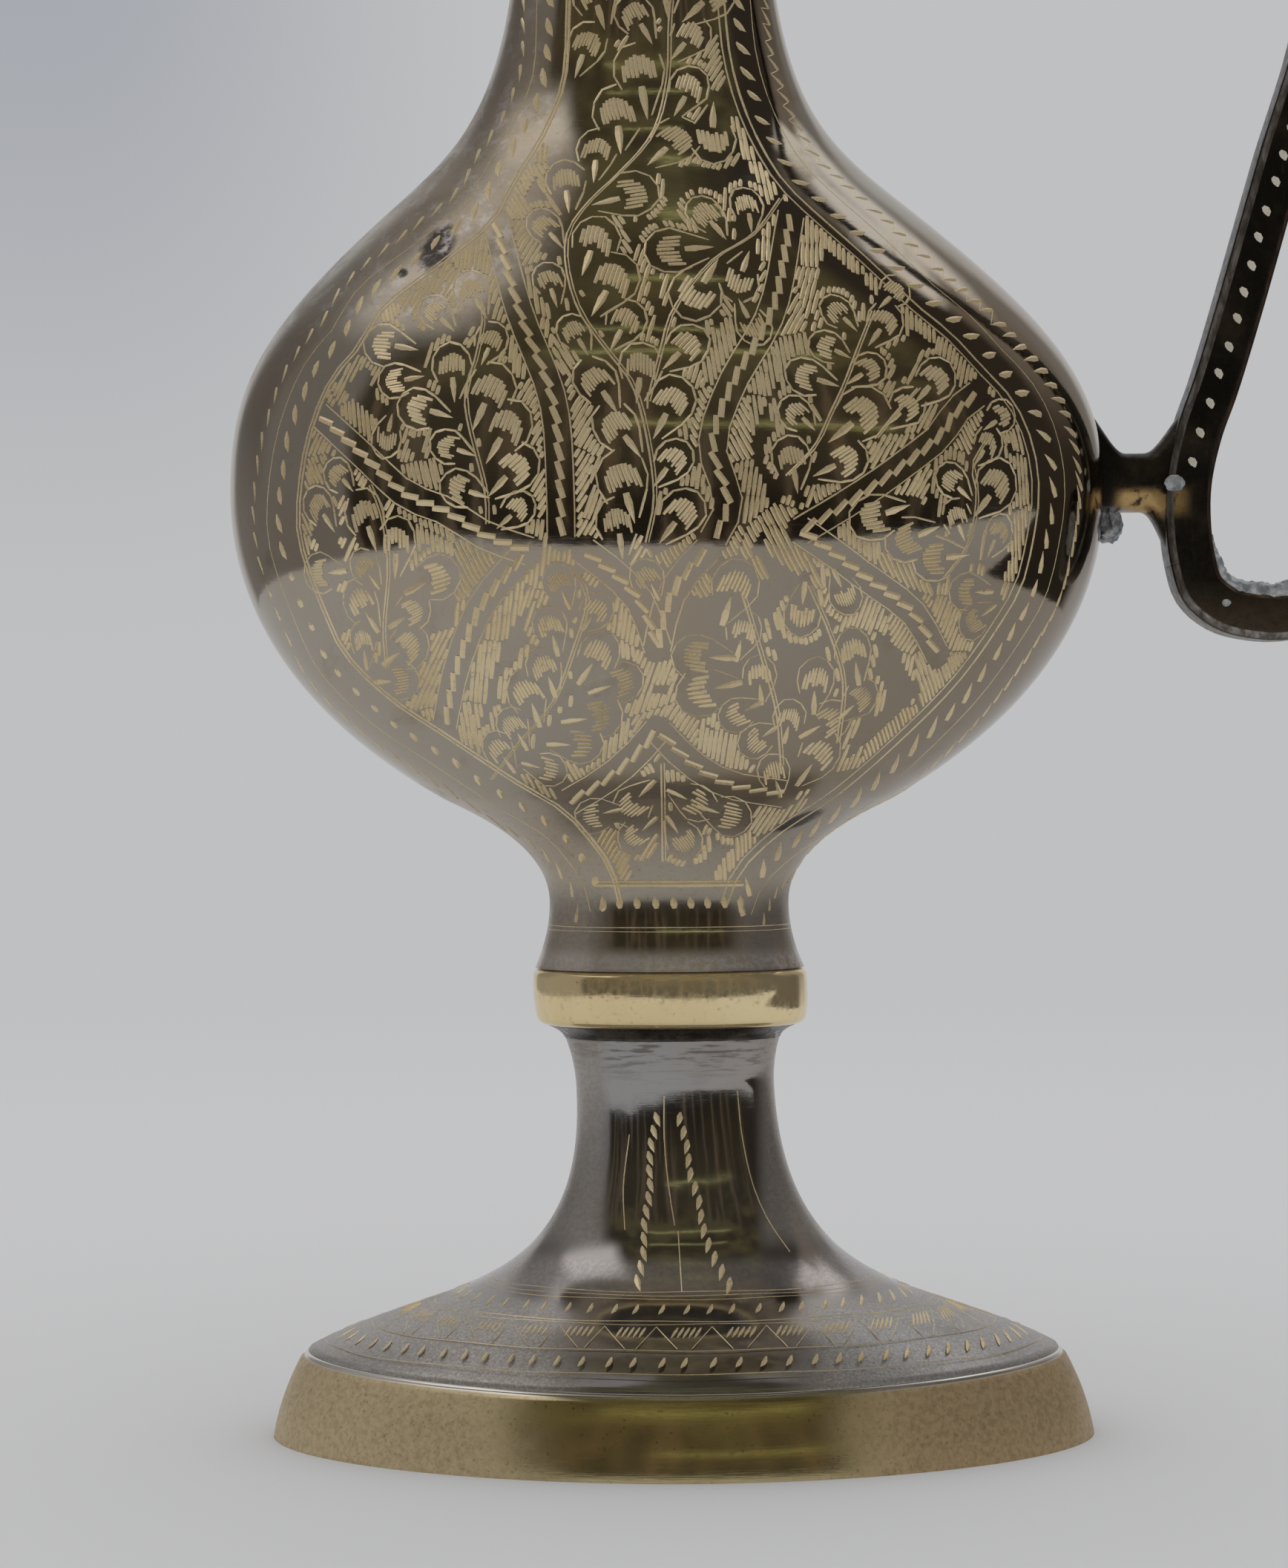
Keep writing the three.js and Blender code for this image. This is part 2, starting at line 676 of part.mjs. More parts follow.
function leanAt(z) {
    const stemStart = skirtTop + STEM_LEAN_ABOVE_SKIRT;
    const stem = STEM_LEAN * THREE.MathUtils.smoothstep(z, stemStart, stemStart + STEM_LEAN_RISE);
    const neck = NECK_LEAN * THREE.MathUtils.smoothstep(z, bellyZ, bellyZ + NECK_LEAN_RISE);
    return -(stem + neck);
}

// Every piece leans by its height alone, so flat joints stay flat and gaps stay as they are
function leaned(geometry) {
    const { position } = geometry.attributes;
    for (let i = 0; i < position.count; i++) position.setX(i, position.getX(i) + leanAt(position.getZ(i)));
    return geometry;
}

function piece(name, geometry, finish) {
    const mesh = new THREE.Mesh(leaned(geometry), new THREE.MeshStandardMaterial(finish));
    mesh.name = name;
    return mesh;
}

const foot = new THREE.Group();
foot.add(piece('foot_skirt', footSkirt(), brass));
foot.add(piece('foot_pedestal', footPedestal(), tinned));
foot.add(piece('pedestal_solder', pedestalSolder(), solder));

const joint = new THREE.Group();
joint.add(piece('collar_ring', collarRing(), brass));
joint.add(piece('joint_ferrule', jointFerrule(), brass));
joint.add(piece('vessel_floor', vesselFloor(), brass));

const body = new THREE.Group();
body.add(piece('body_front_shell', bodyHalf(-1), tinned));
body.add(piece('body_back_shell', bodyHalf(1), tinned));

const mouth = new THREE.Group();
mouth.add(piece('neck_ring', neckRing(), brass));
mouth.add(piece('mouth_funnel', mouthFunnel(), tinned));
mouth.add(piece('rim_band', rimBand(), brass));

const handle = new THREE.Group();
handle.add(piece('handle_grip', handleGrip(), darkBronze));
handle.add(piece('handle_strut', handleStrut(), darkBronze));
handle.add(piece('handle_tail', handleTail(), darkBronze));
handle.add(piece('tail_solder', tailSolder(), solder));
handle.add(piece('strut_solder', strutSolder(), solder));
handle.add(piece('handle_top_pad', handleTopPad(), darkBronze));

const jug = new THREE.Group();
jug.add(foot, joint, body, mouth, handle);

// The frame's origin is the middle of the bottom of the whole jug's box
const box = new THREE.Box3().setFromObject(jug);
jug.position.x = -(box.min.x + box.max.x) / 2;

const object = new THREE.Group();
object.add(jug);

export default object;
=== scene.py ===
"""Looks of a brass jug: tinned engraved belly, brass-edged oval foot, flared mouth and dark strap handle."""
import math
import random

import bpy
import numpy as np
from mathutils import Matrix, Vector, noise


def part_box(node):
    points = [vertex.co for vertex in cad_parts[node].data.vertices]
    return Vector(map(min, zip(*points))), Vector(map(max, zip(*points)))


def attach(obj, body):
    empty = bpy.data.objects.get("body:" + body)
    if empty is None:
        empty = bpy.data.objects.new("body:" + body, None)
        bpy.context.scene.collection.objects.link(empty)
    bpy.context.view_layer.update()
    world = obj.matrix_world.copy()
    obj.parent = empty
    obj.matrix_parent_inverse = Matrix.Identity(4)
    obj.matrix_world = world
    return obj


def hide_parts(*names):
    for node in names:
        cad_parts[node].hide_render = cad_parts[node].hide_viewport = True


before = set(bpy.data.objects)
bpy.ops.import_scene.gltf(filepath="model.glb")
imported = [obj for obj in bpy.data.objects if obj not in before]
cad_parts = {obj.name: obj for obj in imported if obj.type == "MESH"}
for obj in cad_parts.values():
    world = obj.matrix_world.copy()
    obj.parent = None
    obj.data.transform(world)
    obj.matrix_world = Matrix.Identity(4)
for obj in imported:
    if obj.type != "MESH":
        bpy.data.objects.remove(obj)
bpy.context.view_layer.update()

MM = 0.001

# Photograph: size in pixels, focal length in pixels, and where the camera stood, in millimetres
IMAGE_WIDTH = 1736
IMAGE_HEIGHT = 2113
FOCAL_PX = 4800
SENSOR = 36
CAMERA_DISTANCE = 400
CAMERA_HEIGHT = 72.8
CAMERA_LEFT_OF_FOOT = 4.1
CAMERA_ROLL = 0.3

# Foot
SKIRT_BOTTOM = (46.0, 29.8)
SKIRT_TOP = (42.5, 27.2)
SKIRT_BULGE = 0.5
SKIRT_WALL = 2.2
SKIRT_DIP = 0.9
SKIRT_EDGE = 0.55
FOOT_POWER = 1.87
PEDESTAL_WALL = 1.6
STEM = (11.1, 8.6)
STEM_TOP = (12.6, 9.9)
STEM_POWER = 2.15
STEM_FLARE_RISE = 7
STEM_STRAIGHTNESS = 24.5
DOME_CROWN = (13.8, 7.5)

# Collar
COLLAR = (15.4, 12.7)

# Body
BODY_WALL = 1.3
BODY_POWER = 2.1
FLANGE = (15.1, 12.4)
WAIST = (13.4, 11)
WAIST_RISE = 7.3
BELLY = (48.9, 31)
BELLY_RISE = 45.8
NECK = (13.3, 11.3)
NECK_RISE = 84.6
HIP = dict(width=25.3, rise=11.7, angle=29.6, before=2.2, after=10.1)
SHOULDER = dict(width=28.5, rise=31.9, angle=139.7, before=20.9, after=13.8)
WAIST_UPRIGHT = 6.9
BELLY_UPRIGHT_BELOW = 18.5
BELLY_UPRIGHT_ABOVE = 11.9
NECK_UPRIGHT = 38.8

# Neck ring and mouth
NECK_RING_PROUD = 1.9
MOUTH = (25, 19)
MOUTH_SHIFT = 3.5
MOUTH_TILT = 0.11
MOUTH_WALL = 1.4
BEAK_LENGTH = 11
BEAK_PINCH = 0.34
RIM_HEIGHT = 2.8
RIM_PROUD = 0.9

# Handle
STRAP = (5.1, 6.4)
STRAP_CHAMFER = 0.65
STRAP_SOFTNESS = 0.22
STRUT_REACH = 9.4
STRUT_RISE = 0.9
STRUT_HALF = (2.5, 2.6)
TAIL_TAPER = 20
TAIL_TIP_SIZE = 0.62
TAIL_DROP = 9.5
PAD_BELOW_RIM = 14
PAD_THICKNESS = 1.4
TAIL_CURL = [
    (14.9, -1.3), (19.9, -2.3), (21.9, -7.8), (17.9, -13.2),
    (11, -15.2), (7.2, -15.1), (3.9, -14.2), (1.4, -12.1),
]
HANDLE_RISE = [(0.4, -9), (-0.1, -5.2), (0, 0), (1.3, 5.4), (3.6, 11.1), (12.2, 34.6), (17.4, 51)]
HANDLE_ARCH = [(61, -47), (59.5, -27), (52, -8), (39, 5), (25, 9.5), (11, 7.5), (3, 2)]

# Lean of stem and neck away from the handle
STEM_LEAN = 1.35
STEM_LEAN_ABOVE_SKIRT = 8.4
STEM_LEAN_RISE = 38
NECK_LEAN = 2.4
NECK_LEAN_RISE = 46


def low(node):
    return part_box(node)[0] / MM


def high(node):
    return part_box(node)[1] / MM


# Places read from the frame, in millimetres
FOOT_X = (low("foot_skirt").x + high("foot_skirt").x) / 2
SKIRT_TOP_Z = high("foot_skirt").z
PEDESTAL_TOP_Z = high("foot_pedestal").z
COLLAR_TOP_Z = high("collar_ring").z
BODY_TOP_Z = high("body_front_shell").z
MOUTH_BASE_Z = high("neck_ring").z
MOUTH_HEIGHT = 45
STEM_Z = PEDESTAL_TOP_Z - STEM_FLARE_RISE
WAIST_Z = COLLAR_TOP_Z + WAIST_RISE
BELLY_Z = WAIST_Z + BELLY_RISE
NECK_Z = BELLY_Z + NECK_RISE
STRUT_Z = BELLY_Z + STRUT_RISE
STRAP_X = BELLY[0] + STRUT_REACH
MOUTH_TOP_Z = MOUTH_BASE_Z + MOUTH_HEIGHT


# Curves and sections, in millimetres from the jug's own axis

def smoothstep(value, start, end):
    t = np.clip((np.asarray(value, float) - start) / (end - start), 0, 1)
    return t * t * (3 - 2 * t)


def lean_at(z):
    stem_start = SKIRT_TOP_Z + STEM_LEAN_ABOVE_SKIRT
    stem = STEM_LEAN * smoothstep(z, stem_start, stem_start + STEM_LEAN_RISE)
    neck = NECK_LEAN * smoothstep(z, BELLY_Z, BELLY_Z + NECK_LEAN_RISE)
    return -(stem + neck)


def placed(points):
    """Points on the jug's own axis, moved to where the leaning jug stands, in metres."""
    out = np.array(points, float)
    out[..., 0] += FOOT_X + lean_at(out[..., 2])
    return out * MM


def bezier(points, count):
    t = np.linspace(0, 1, count + 1)[:, None]
    layers = [np.tile(np.array(p, float), (count + 1, 1)) for p in points]
    while len(layers) > 1:
        layers = [a * (1 - t) + b * t for a, b in zip(layers[:-1], layers[1:])]
    return layers[0]


def between(x, x_from, x_to, from_value, to_value):
    return from_value + (x - x_from) * (to_value - from_value) / (x_to - x_from)


def station(z, width, depth, power=2.0, shift=0.0, tilt=0.0, beak=0.0):
    return np.array([z, width, depth, power, shift, tilt, beak], float)


def grown(stations, offset):
    """Stations moved out by an offset measured square to the wall."""
    s = np.array(stations)
    rise = np.gradient(s[:, 0])
    out = s.copy()
    for column in (1, 2):
        out[:, column] += offset * np.hypot(1, np.gradient(s[:, column]) / np.where(rise == 0, 1, rise))
    return out


def rings(stations, angles):
    """Points of every station's oval at the given angles, as rows of a grid."""
    s = np.array(stations)[:, :, None]
    z, width, depth, power, shift, tilt, beak = (s[:, i] for i in range(7))
    c, d = np.cos(angles)[None], np.sin(angles)[None]
    across = np.sign(c) * width * np.abs(c) ** (2 / power)
    along = np.sign(d) * depth * np.abs(d) ** (2 / power)
    to_beak = np.maximum(0, -c) ** 3
    x = shift + across - BEAK_LENGTH * beak * to_beak
    y = along * (1 - BEAK_PINCH * beak * to_beak)
    return np.stack([x, y, z - tilt * x], axis=-1)


def full_turn(steps):
    return np.arange(steps) * (2 * math.pi / steps)


# Meshes

def grid_faces(rows, columns, close_rows, close_columns, first=0):
    faces = []
    for i in range(rows if close_rows else rows - 1):
        a, b = first + i * columns, first + ((i + 1) % rows) * columns
        for j in range(columns if close_columns else columns - 1):
            k = (j + 1) % columns
            faces.append((a + j, a + k, b + k, b + j))
    return faces


def make_piece(name, points, faces, material, slot, node=None, sharp=35):
    """A smooth mesh piece from points in millimetres on the leaning jug."""
    mesh = bpy.data.meshes.new(name)
    mesh.from_pydata(placed(points).reshape(-1, 3).tolist(), [], faces)
    mesh.validate()
    mesh.shade_smooth()
    mesh.set_sharp_from_angle(angle=math.radians(sharp))
    mesh.materials.append(material)
    piece = bpy.data.objects.new(name, mesh)
    bpy.context.scene.collection.objects.link(piece)
    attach(piece, "root")
    if node:
        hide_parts(node)
    return piece


def band_piece(name, stations, steps, change=None, **settings):
    """A ring-shaped piece whose section goes once round through the stations."""
    angles = full_turn(steps)
    grid = rings(stations, angles)
    if change:
        grid = change(grid, angles)
    return make_piece(name, grid, grid_faces(len(grid), steps, True, True), **settings)


# Outlines

def skirt_stations(inset, count):
    t = np.linspace(0, 1, count)
    bulge = 4 * t * (1 - t) * SKIRT_BULGE
    return [
        station(u * SKIRT_TOP_Z, between(u, 0, 1, SKIRT_BOTTOM[0], SKIRT_TOP[0]) + b - inset,
                between(u, 0, 1, SKIRT_BOTTOM[1], SKIRT_TOP[1]) + b - inset, FOOT_POWER)
        for u, b in zip(t, bulge)
    ]


def pedestal_stations(count):
    dome = bezier([
        (SKIRT_TOP[0], SKIRT_TOP_Z),
        (SKIRT_TOP[0] - DOME_CROWN[0], SKIRT_TOP_Z + DOME_CROWN[1]),
        (STEM[0], STEM_Z - STEM_STRAIGHTNESS),
        (STEM[0], STEM_Z),
    ], count)
    flare = bezier([
        (STEM[0], STEM_Z),
        (STEM[0], (STEM_Z + PEDESTAL_TOP_Z) / 2),
        (STEM_TOP[0], PEDESTAL_TOP_Z),
    ], count // 4)[1:]
    stations = [
        station(z, w, between(w, STEM[0], SKIRT_TOP[0], STEM[1], SKIRT_TOP[1]),
                between(w, STEM[0], SKIRT_TOP[0], STEM_POWER, FOOT_POWER))
        for w, z in dome
    ]
    stations += [
        station(z, w, between(w, STEM[0], STEM_TOP[0], STEM[1], STEM_TOP[1]), STEM_POWER)
        for w, z in flare
    ]
    return stations


def double_bend(start, start_z, start_upright, bend, end, end_z, end_upright, count):
    lean = math.radians(bend["angle"])
    along = np.array([math.cos(lean), math.sin(lean)])
    middle = np.array([bend["width"], start_z + bend["rise"]])
    first = bezier([(start, start_z), (start, start_z + start_upright),
                    middle - along * bend["before"], middle], count)
    second = bezier([middle, middle + along * bend["after"],
                     (end, end_z - end_upright), (end, end_z)], count)
    return np.vstack([first, second[1:]])


def body_stations(count):
    """The body's outside: flange, hip, shoulder and neck."""
    flange = bezier([(FLANGE[0], COLLAR_TOP_Z), (WAIST[0], (COLLAR_TOP_Z + WAIST_Z) / 2),
                     (WAIST[0], WAIST_Z)], count // 4)
    hip = double_bend(WAIST[0], WAIST_Z, WAIST_UPRIGHT, HIP, BELLY[0], BELLY_Z,
                      BELLY_UPRIGHT_BELOW, count)
    shoulder = double_bend(BELLY[0], BELLY_Z, BELLY_UPRIGHT_ABOVE, SHOULDER, NECK[0], NECK_Z,
                           NECK_UPRIGHT, count)

    def flank(points, a, b):
        return [station(z, w, between(w, a[0], b[0], a[1], b[1]), BODY_POWER) for w, z in points]

    return [*flank(flange, WAIST, FLANGE), *flank(hip[1:], WAIST, BELLY),
            *flank(shoulder[1:], NECK, BELLY), *flank([(NECK[0], BODY_TOP_Z)], NECK, BELLY)]


def mouth_stations(count):
    made = []
    for t in np.linspace(0, 1, count + 1):
        opening = t * t
        made.append(station(
            MOUTH_BASE_Z + t * MOUTH_HEIGHT, between(opening, 0, 1, NECK[0], MOUTH[0]),
            between(opening, 0, 1, NECK[1], MOUTH[1]), BODY_POWER,
            -MOUTH_SHIFT * opening, MOUTH_TILT * opening, opening))
    return made


# Handle centreline, a centripetal Catmull-Rom curve in the plane through the handle

def catmull_rom(points, per_span):
    p = [np.array(q, float) for q in points]
    p = [2 * p[0] - p[1], *p, 2 * p[-1] - p[-2]]
    t = np.linspace(0, 1, per_span, endpoint=False)[:, None]
    spans = []
    for a, b, c, d in zip(p, p[1:], p[2:], p[3:]):
        da, db, dc = (np.linalg.norm(v) ** 0.5 for v in (b - a, c - b, d - c))
        m = ((b - a) / da - (c - a) / (da + db) + (c - b) / db) * db
        n = ((c - b) / db - (d - b) / (db + dc) + (d - c) / dc) * db
        spans.append(b + m * t + (-3 * b + 3 * c - 2 * m - n) * t ** 2 + (2 * b - 2 * c + m + n) * t ** 3)
    return np.vstack([*spans, p[-2][None]])


def resampled(line, spacing):
    steps = np.linalg.norm(np.diff(line, axis=0), axis=1)
    along = np.concatenate([[0], np.cumsum(steps)])
    count = max(2, round(along[-1] / spacing))
    at = np.linspace(0, along[-1], count + 1)
    return np.stack([np.interp(at, along, line[:, i]) for i in range(line.shape[1])], axis=1)


def pad_place():
    t = (MOUTH_TOP_Z - PAD_BELOW_RIM - MOUTH_BASE_Z) / MOUTH_HEIGHT
    opening = t * t
    face = between(opening, 0, 1, NECK[0], MOUTH[0]) - MOUTH_SHIFT * opening
    return face + PAD_THICKNESS + 0.3, MOUTH_TOP_Z - PAD_BELOW_RIM


def handle_line():
    pad_x, pad_z = pad_place()
    low_part = [(STRAP_X + x, STRUT_Z + z) for x, z in TAIL_CURL + HANDLE_RISE]
    high_part = [(pad_x + x, pad_z + z) for x, z in HANDLE_ARCH]
    end = [(pad_x - STRAP[0] / 2, pad_z - STRAP[0] / 4)]
    return resampled(catmull_rom(low_part + high_part + end, 60), 0.8)


def strap_section(half_thickness, half_depth, chamfer, steps=3):
    """Eight-sided section with softened corners, as points across the strap and through its depth."""
    t, d, c = half_thickness, half_depth, chamfer
    corners = np.array([(t, c - d), (t, d - c), (t - c, d), (c - t, d),
                        (-t, d - c), (-t, c - d), (c - t, -d), (t - c, -d)])
    soft = []
    for i, p in enumerate(corners):
        to_before, to_after = corners[i - 1] - p, corners[(i + 1) % len(corners)] - p
        a, b = (p + to / np.linalg.norm(to) * STRAP_SOFTNESS for to in (to_before, to_after))
        soft.extend(bezier([a, p, b], steps))
    return np.array(soft)


def tangents(line):
    along = np.gradient(line, axis=0)
    return along / np.linalg.norm(along, axis=1)[:, None]


def normals(line):
    """Unit vectors square to a line, to its right."""
    along = tangents(line)
    return np.stack([along[:, 1], -along[:, 0]], axis=1)


def sweep(line, sections):
    """Grid of points of sections carried along a line in the X-Z plane."""
    out = normals(line)
    grid = np.zeros((len(line), sections.shape[-2], 3))
    for axis, i in ((0, 0), (2, 1)):
        grid[..., axis] = line[:, i, None] + out[:, i, None] * sections[..., 0]
    grid[..., 1] = sections[..., 1]
    return grid


def capped(grid):
    """Grid closed round its columns, with a fan of triangles over each end."""
    rows, columns = grid.shape[:2]
    points = grid.reshape(-1, 3)
    centres = np.stack([grid[0].mean(0), grid[-1].mean(0)])
    faces = grid_faces(rows, columns, False, True)
    last, c0, c1 = (rows - 1) * columns, rows * columns, rows * columns + 1
    for j in range(columns):
        k = (j + 1) % columns
        faces += [(c0, k, j), (c1, last + j, last + k)]
    return np.vstack([points, centres]), faces


# Where the handle's bronze is rubbed to bare brass, and below what height it is browner
BARE_X = (FOOT_X + BELLY[0] + lean_at(STRUT_Z) + 1.5, FOOT_X + STRAP_X + lean_at(STRUT_Z) - 0.5)
BARE_Z = (STRUT_Z - 3.6, STRUT_Z - 0.9)
TAIL_BROWN_Z = STRUT_Z - 10


# Node graphs

class Field:
    """What a node puts out, for sums and products of node values."""

    def __init__(self, graph, socket):
        self.graph = graph
        self.socket = socket

    def __add__(self, other):
        return self.graph.math("ADD", self, other)

    def __sub__(self, other):
        return self.graph.math("SUBTRACT", self, other)

    def __rsub__(self, other):
        return self.graph.math("SUBTRACT", other, self)

    def __mul__(self, other):
        return self.graph.math("MULTIPLY", self, other)

    def __abs__(self):
        return self.graph.math("ABSOLUTE", self)


class Graph:
    """Short calls for building a node tree."""

    def __init__(self, tree):
        self.tree = tree
        self.tree.nodes.clear()

    def node(self, kind, inputs, **settings):
        made = self.tree.nodes.new(kind)
        for key, value in settings.items():
            setattr(made, key, value)
        for key, value in inputs.items():
            if isinstance(value, Field):
                self.tree.links.new(value.socket, made.inputs[key])
            else:
                made.inputs[key].default_value = value
        return made

    def field(self, kind, output=0, inputs=None, **settings):
        return Field(self, self.node(kind, inputs or {}, **settings).outputs[output])

    def math(self, operation, *values):
        return self.field("ShaderNodeMath", 0, dict(enumerate(values)), operation=operation)

    def step(self, value, start, end, low=0.0, high=1.0):
        inputs = {"Value": value, "From Min": start, "From Max": end, "To Min": low, "To Max": high}
        return self.field("ShaderNodeMapRange", "Result", inputs, interpolation_type="SMOOTHSTEP")

    def mix(self, factor, a, b):
        a, b = (c if isinstance(c, Field) else (*c, 1.0) for c in (a, b))
        return self.field("ShaderNodeMix", 2, {0: factor, 6: a, 7: b}, data_type="RGBA")

    def layered(self, colour, *layers):
        """A colour with others laid over it, each by its mask."""
        for mask, paint in layers:
            colour = self.mix(mask, colour, paint)
        return colour

    def noise(self, vector, scale, detail=4.0, roughness=0.55, distortion=0.0):
        return self.field("ShaderNodeTexNoise", "Fac", {
            "Vector": vector, "Scale": scale, "Detail": detail, "Roughness": roughness,
            "Distortion": distortion})

    def scaled(self, vector, x, y, z):
        return self.field("ShaderNodeVectorMath", 0, {0: vector, 1: (x, y, z)}, operation="MULTIPLY")

    def axes(self, vector):
        split = self.node("ShaderNodeSeparateXYZ", {0: vector})
        return [Field(self, output) for output in split.outputs]


# World: a pale studio with a dim room in front, seen only in reflections

BACKDROP = (0.525, 0.527, 0.535)
BACKDROP_CORNER = (0.38, 0.395, 0.43)
ROOM_LOW = (0.02, 0.017, 0.014)
ROOM = (0.062, 0.053, 0.036)
ROOM_GLOW = (0.14, 0.128, 0.068)
ROOM_STRIPE = (0.15, 0.12, 0.085)
ROOM_AMBER = (0.4, 0.19, 0.05)
ROOM_RIGHT = (0.045, 0.038, 0.032)
ROOM_FAR_RIGHT = (0.24, 0.21, 0.185)
SIDE_WALL = (0.25, 0.24, 0.235)
SIDE_SHADE = (0.17, 0.163, 0.163)
CEILING = (0.36, 0.35, 0.34)
SOFTBOX = (0.95, 0.94, 0.95)
TUBE_LIGHT = (0.62, 0.65, 0.3)
WHITE = (1.0, 1.0, 1.0)
# What hangs in the mirrored room: azimuths, elevations, softness of both, and colour
WALLS = [
    ((-148, -50), (-32, 60), (6, 8), SIDE_WALL),
    ((-146, -112), (6, 38), (8, 8), SIDE_SHADE),
    ((112, 149), (-3, 44), (6, 7), SIDE_WALL),
]
SOFTBOXES = [
    ((-106, -47), (45, 66), (8, 6), SOFTBOX),
    ((98, 128), (50, 60.5), (3, 2), SOFTBOX),
    ((122, 144), (42, 54), (5, 4), SOFTBOX),
]
TUBE_HALF_HEIGHT = 0.35
# Tubes of light: elevation, and the azimuths of both ends
TUBES = [(14.5, -8, 42), (37, -22, 32), (45, -20, 28), (61, -12, 20), (73, 2, 40)]


def make_world():
    """What the metal mirrors, by azimuth (0 towards the camera, 90 right) and elevation in degrees."""
    world = bpy.data.worlds.new("studio")
    bpy.context.scene.world = world
    world.use_nodes = True
    world.cycles.sampling_method = "NONE"
    g = Graph(world.node_tree)
    direction = g.field("ShaderNodeTexCoord", "Generated")
    x, y, z = g.axes(direction)
    azimuth, elevation = (angle * math.degrees(1) for angle in (
        g.math("ARCTAN2", x, y * -1.0), g.math("ARCSINE", z)))

    def window(value, start, end, soft):
        rising = g.step(value, start - soft, start + soft)
        return rising * g.step(value, end - soft, end + soft, 1.0, 0.0)

    def patch(azimuths, elevations, soft):
        return window(azimuth, *azimuths, soft[0]) * window(elevation, *elevations, soft[1])

    def hung(colour, patches):
        return g.layered(colour, *((patch(*place), paint) for *place, paint in patches))

    behind = g.step(abs(azimuth) + g.step(azimuth, 0, 40, 0, -32), 100, 125)
    colour = g.mix(g.step(elevation, 58, 72), BACKDROP, CEILING)
    colour = g.mix(behind * g.step(elevation, 48, 60), colour, SOFTBOX)
    colour = hung(colour, WALLS)
    room = room_colour(g, azimuth, elevation, direction, window, patch)
    colour = g.mix(room_mask(g, azimuth, elevation), colour, room)
    colour = hung(colour, SOFTBOXES)
    colour = hung(colour, [
        ((start, end), (middle - TUBE_HALF_HEIGHT, middle + TUBE_HALF_HEIGHT), (3, 0.3), TUBE_LIGHT)
        for middle, start, end in TUBES
    ])
    backdrop = g.mix(g.step(x, -0.02, -0.16) * g.step(z, 0.02, 0.24), BACKDROP, BACKDROP_CORNER)
    colour = g.layered(colour, (g.field("ShaderNodeLightPath", "Is Diffuse Ray"), WHITE),
                       (g.field("ShaderNodeLightPath", "Is Camera Ray"), backdrop))
    background = g.field("ShaderNodeBackground", 0, {"Color": colour, "Strength": 1.0})
    g.node("ShaderNodeOutputWorld", {"Surface": background})


def room_mask(g, azimuth, elevation):
    """The dim room in front, under a ceiling line that falls away to both sides."""
    top = g.step(azimuth, -76, -28, 30, 98) + g.step(azimuth, 50, 80, 0, -24)
    top = top + g.step(azimuth, 96, 112, 0, 14)
    sides = g.step(azimuth, -69, -63) * g.step(azimuth, 138, 124)
    return g.step(elevation - top, -4, 4, 1.0, 0.0) * sides


def room_colour(g, azimuth, elevation, direction, window, patch):
    """The room's own gradient, with a glow, upright stripes, amber spots and a paler far right."""
    glow = g.noise(g.scaled(direction, 3.2, 3.2, 7.0), 1.0, 3.0)
    upright = g.field("ShaderNodeCombineXYZ", 0, {0: azimuth * 0.3, 1: elevation * 0.02})
    stripe = g.noise(upright, 1.0, 2.0)
    return g.layered(
        g.mix(g.step(elevation, -6, 12), ROOM_LOW, ROOM),
        (g.step(glow, 0.42, 0.66) * g.step(elevation, 8, 40, 0.1, 1.0), ROOM_GLOW),
        (g.step(stripe, 0.52, 0.6) * g.step(elevation, 26, 40, 1.0, 0.0), ROOM_STRIPE),
        (g.step(stripe, 0.68, 0.71) * patch((-60, 60), (-2, 14), (3, 2)), ROOM_AMBER),
        (window(azimuth, 62, 125, 8), ROOM_RIGHT),
        (g.step(azimuth, 96, 108) * g.step(elevation, 6, 40), ROOM_FAR_RIGHT))


FLOOR_FRONT = -480
FLOOR_BACK = 3000
FLOOR_LEFT = -430
FLOOR_RIGHT = 2500
FLOOR_RIGHT_EDGE = 285
FLOOR_RIGHT_START = -110
# Painted light: the table is brighter near the jug by this factor, fading out between these distances.
FLOOR_PAINTED_LIGHT_NEAR = 1.07
FLOOR_PAINTED_LIGHT_FADES = (0.1, 0.9)


def new_material(name):
    material = bpy.data.materials.new(name)
    material.use_nodes = True
    return material, Graph(material.node_tree)


def make_floor():
    """A pale table that ends in front of the jug and to both sides of it, outside the photograph."""
    corners = [(FLOOR_LEFT, FLOOR_FRONT), (FLOOR_RIGHT, FLOOR_FRONT),
               (FLOOR_RIGHT, FLOOR_RIGHT_START), (FLOOR_RIGHT_EDGE, FLOOR_RIGHT_START),
               (FLOOR_RIGHT_EDGE, FLOOR_BACK), (FLOOR_LEFT, FLOOR_BACK)]
    mesh = bpy.data.meshes.new("floor")
    mesh.from_pydata([(x * MM, y * MM, 0) for x, y in corners], [], [tuple(range(len(corners)))])
    material, g = new_material("pale_table")
    away = g.field("ShaderNodeVectorMath", "Value", {0: g.field("ShaderNodeTexCoord", "Object")},
                   operation="LENGTH")
    # Painted light: a brighter pool of table colour round the jug, fading to the backdrop's colour further
    # away.
    near = tuple(c * FLOOR_PAINTED_LIGHT_NEAR for c in BACKDROP)
    colour = g.mix(g.step(away, *FLOOR_PAINTED_LIGHT_FADES), near, BACKDROP)
    shader = g.field("ShaderNodeBsdfDiffuse", 0, {"Color": colour})
    g.node("ShaderNodeOutputMaterial", {"Surface": shader})
    mesh.materials.append(material)
    floor = bpy.data.objects.new("floor", mesh)
    bpy.context.scene.collection.objects.link(floor)


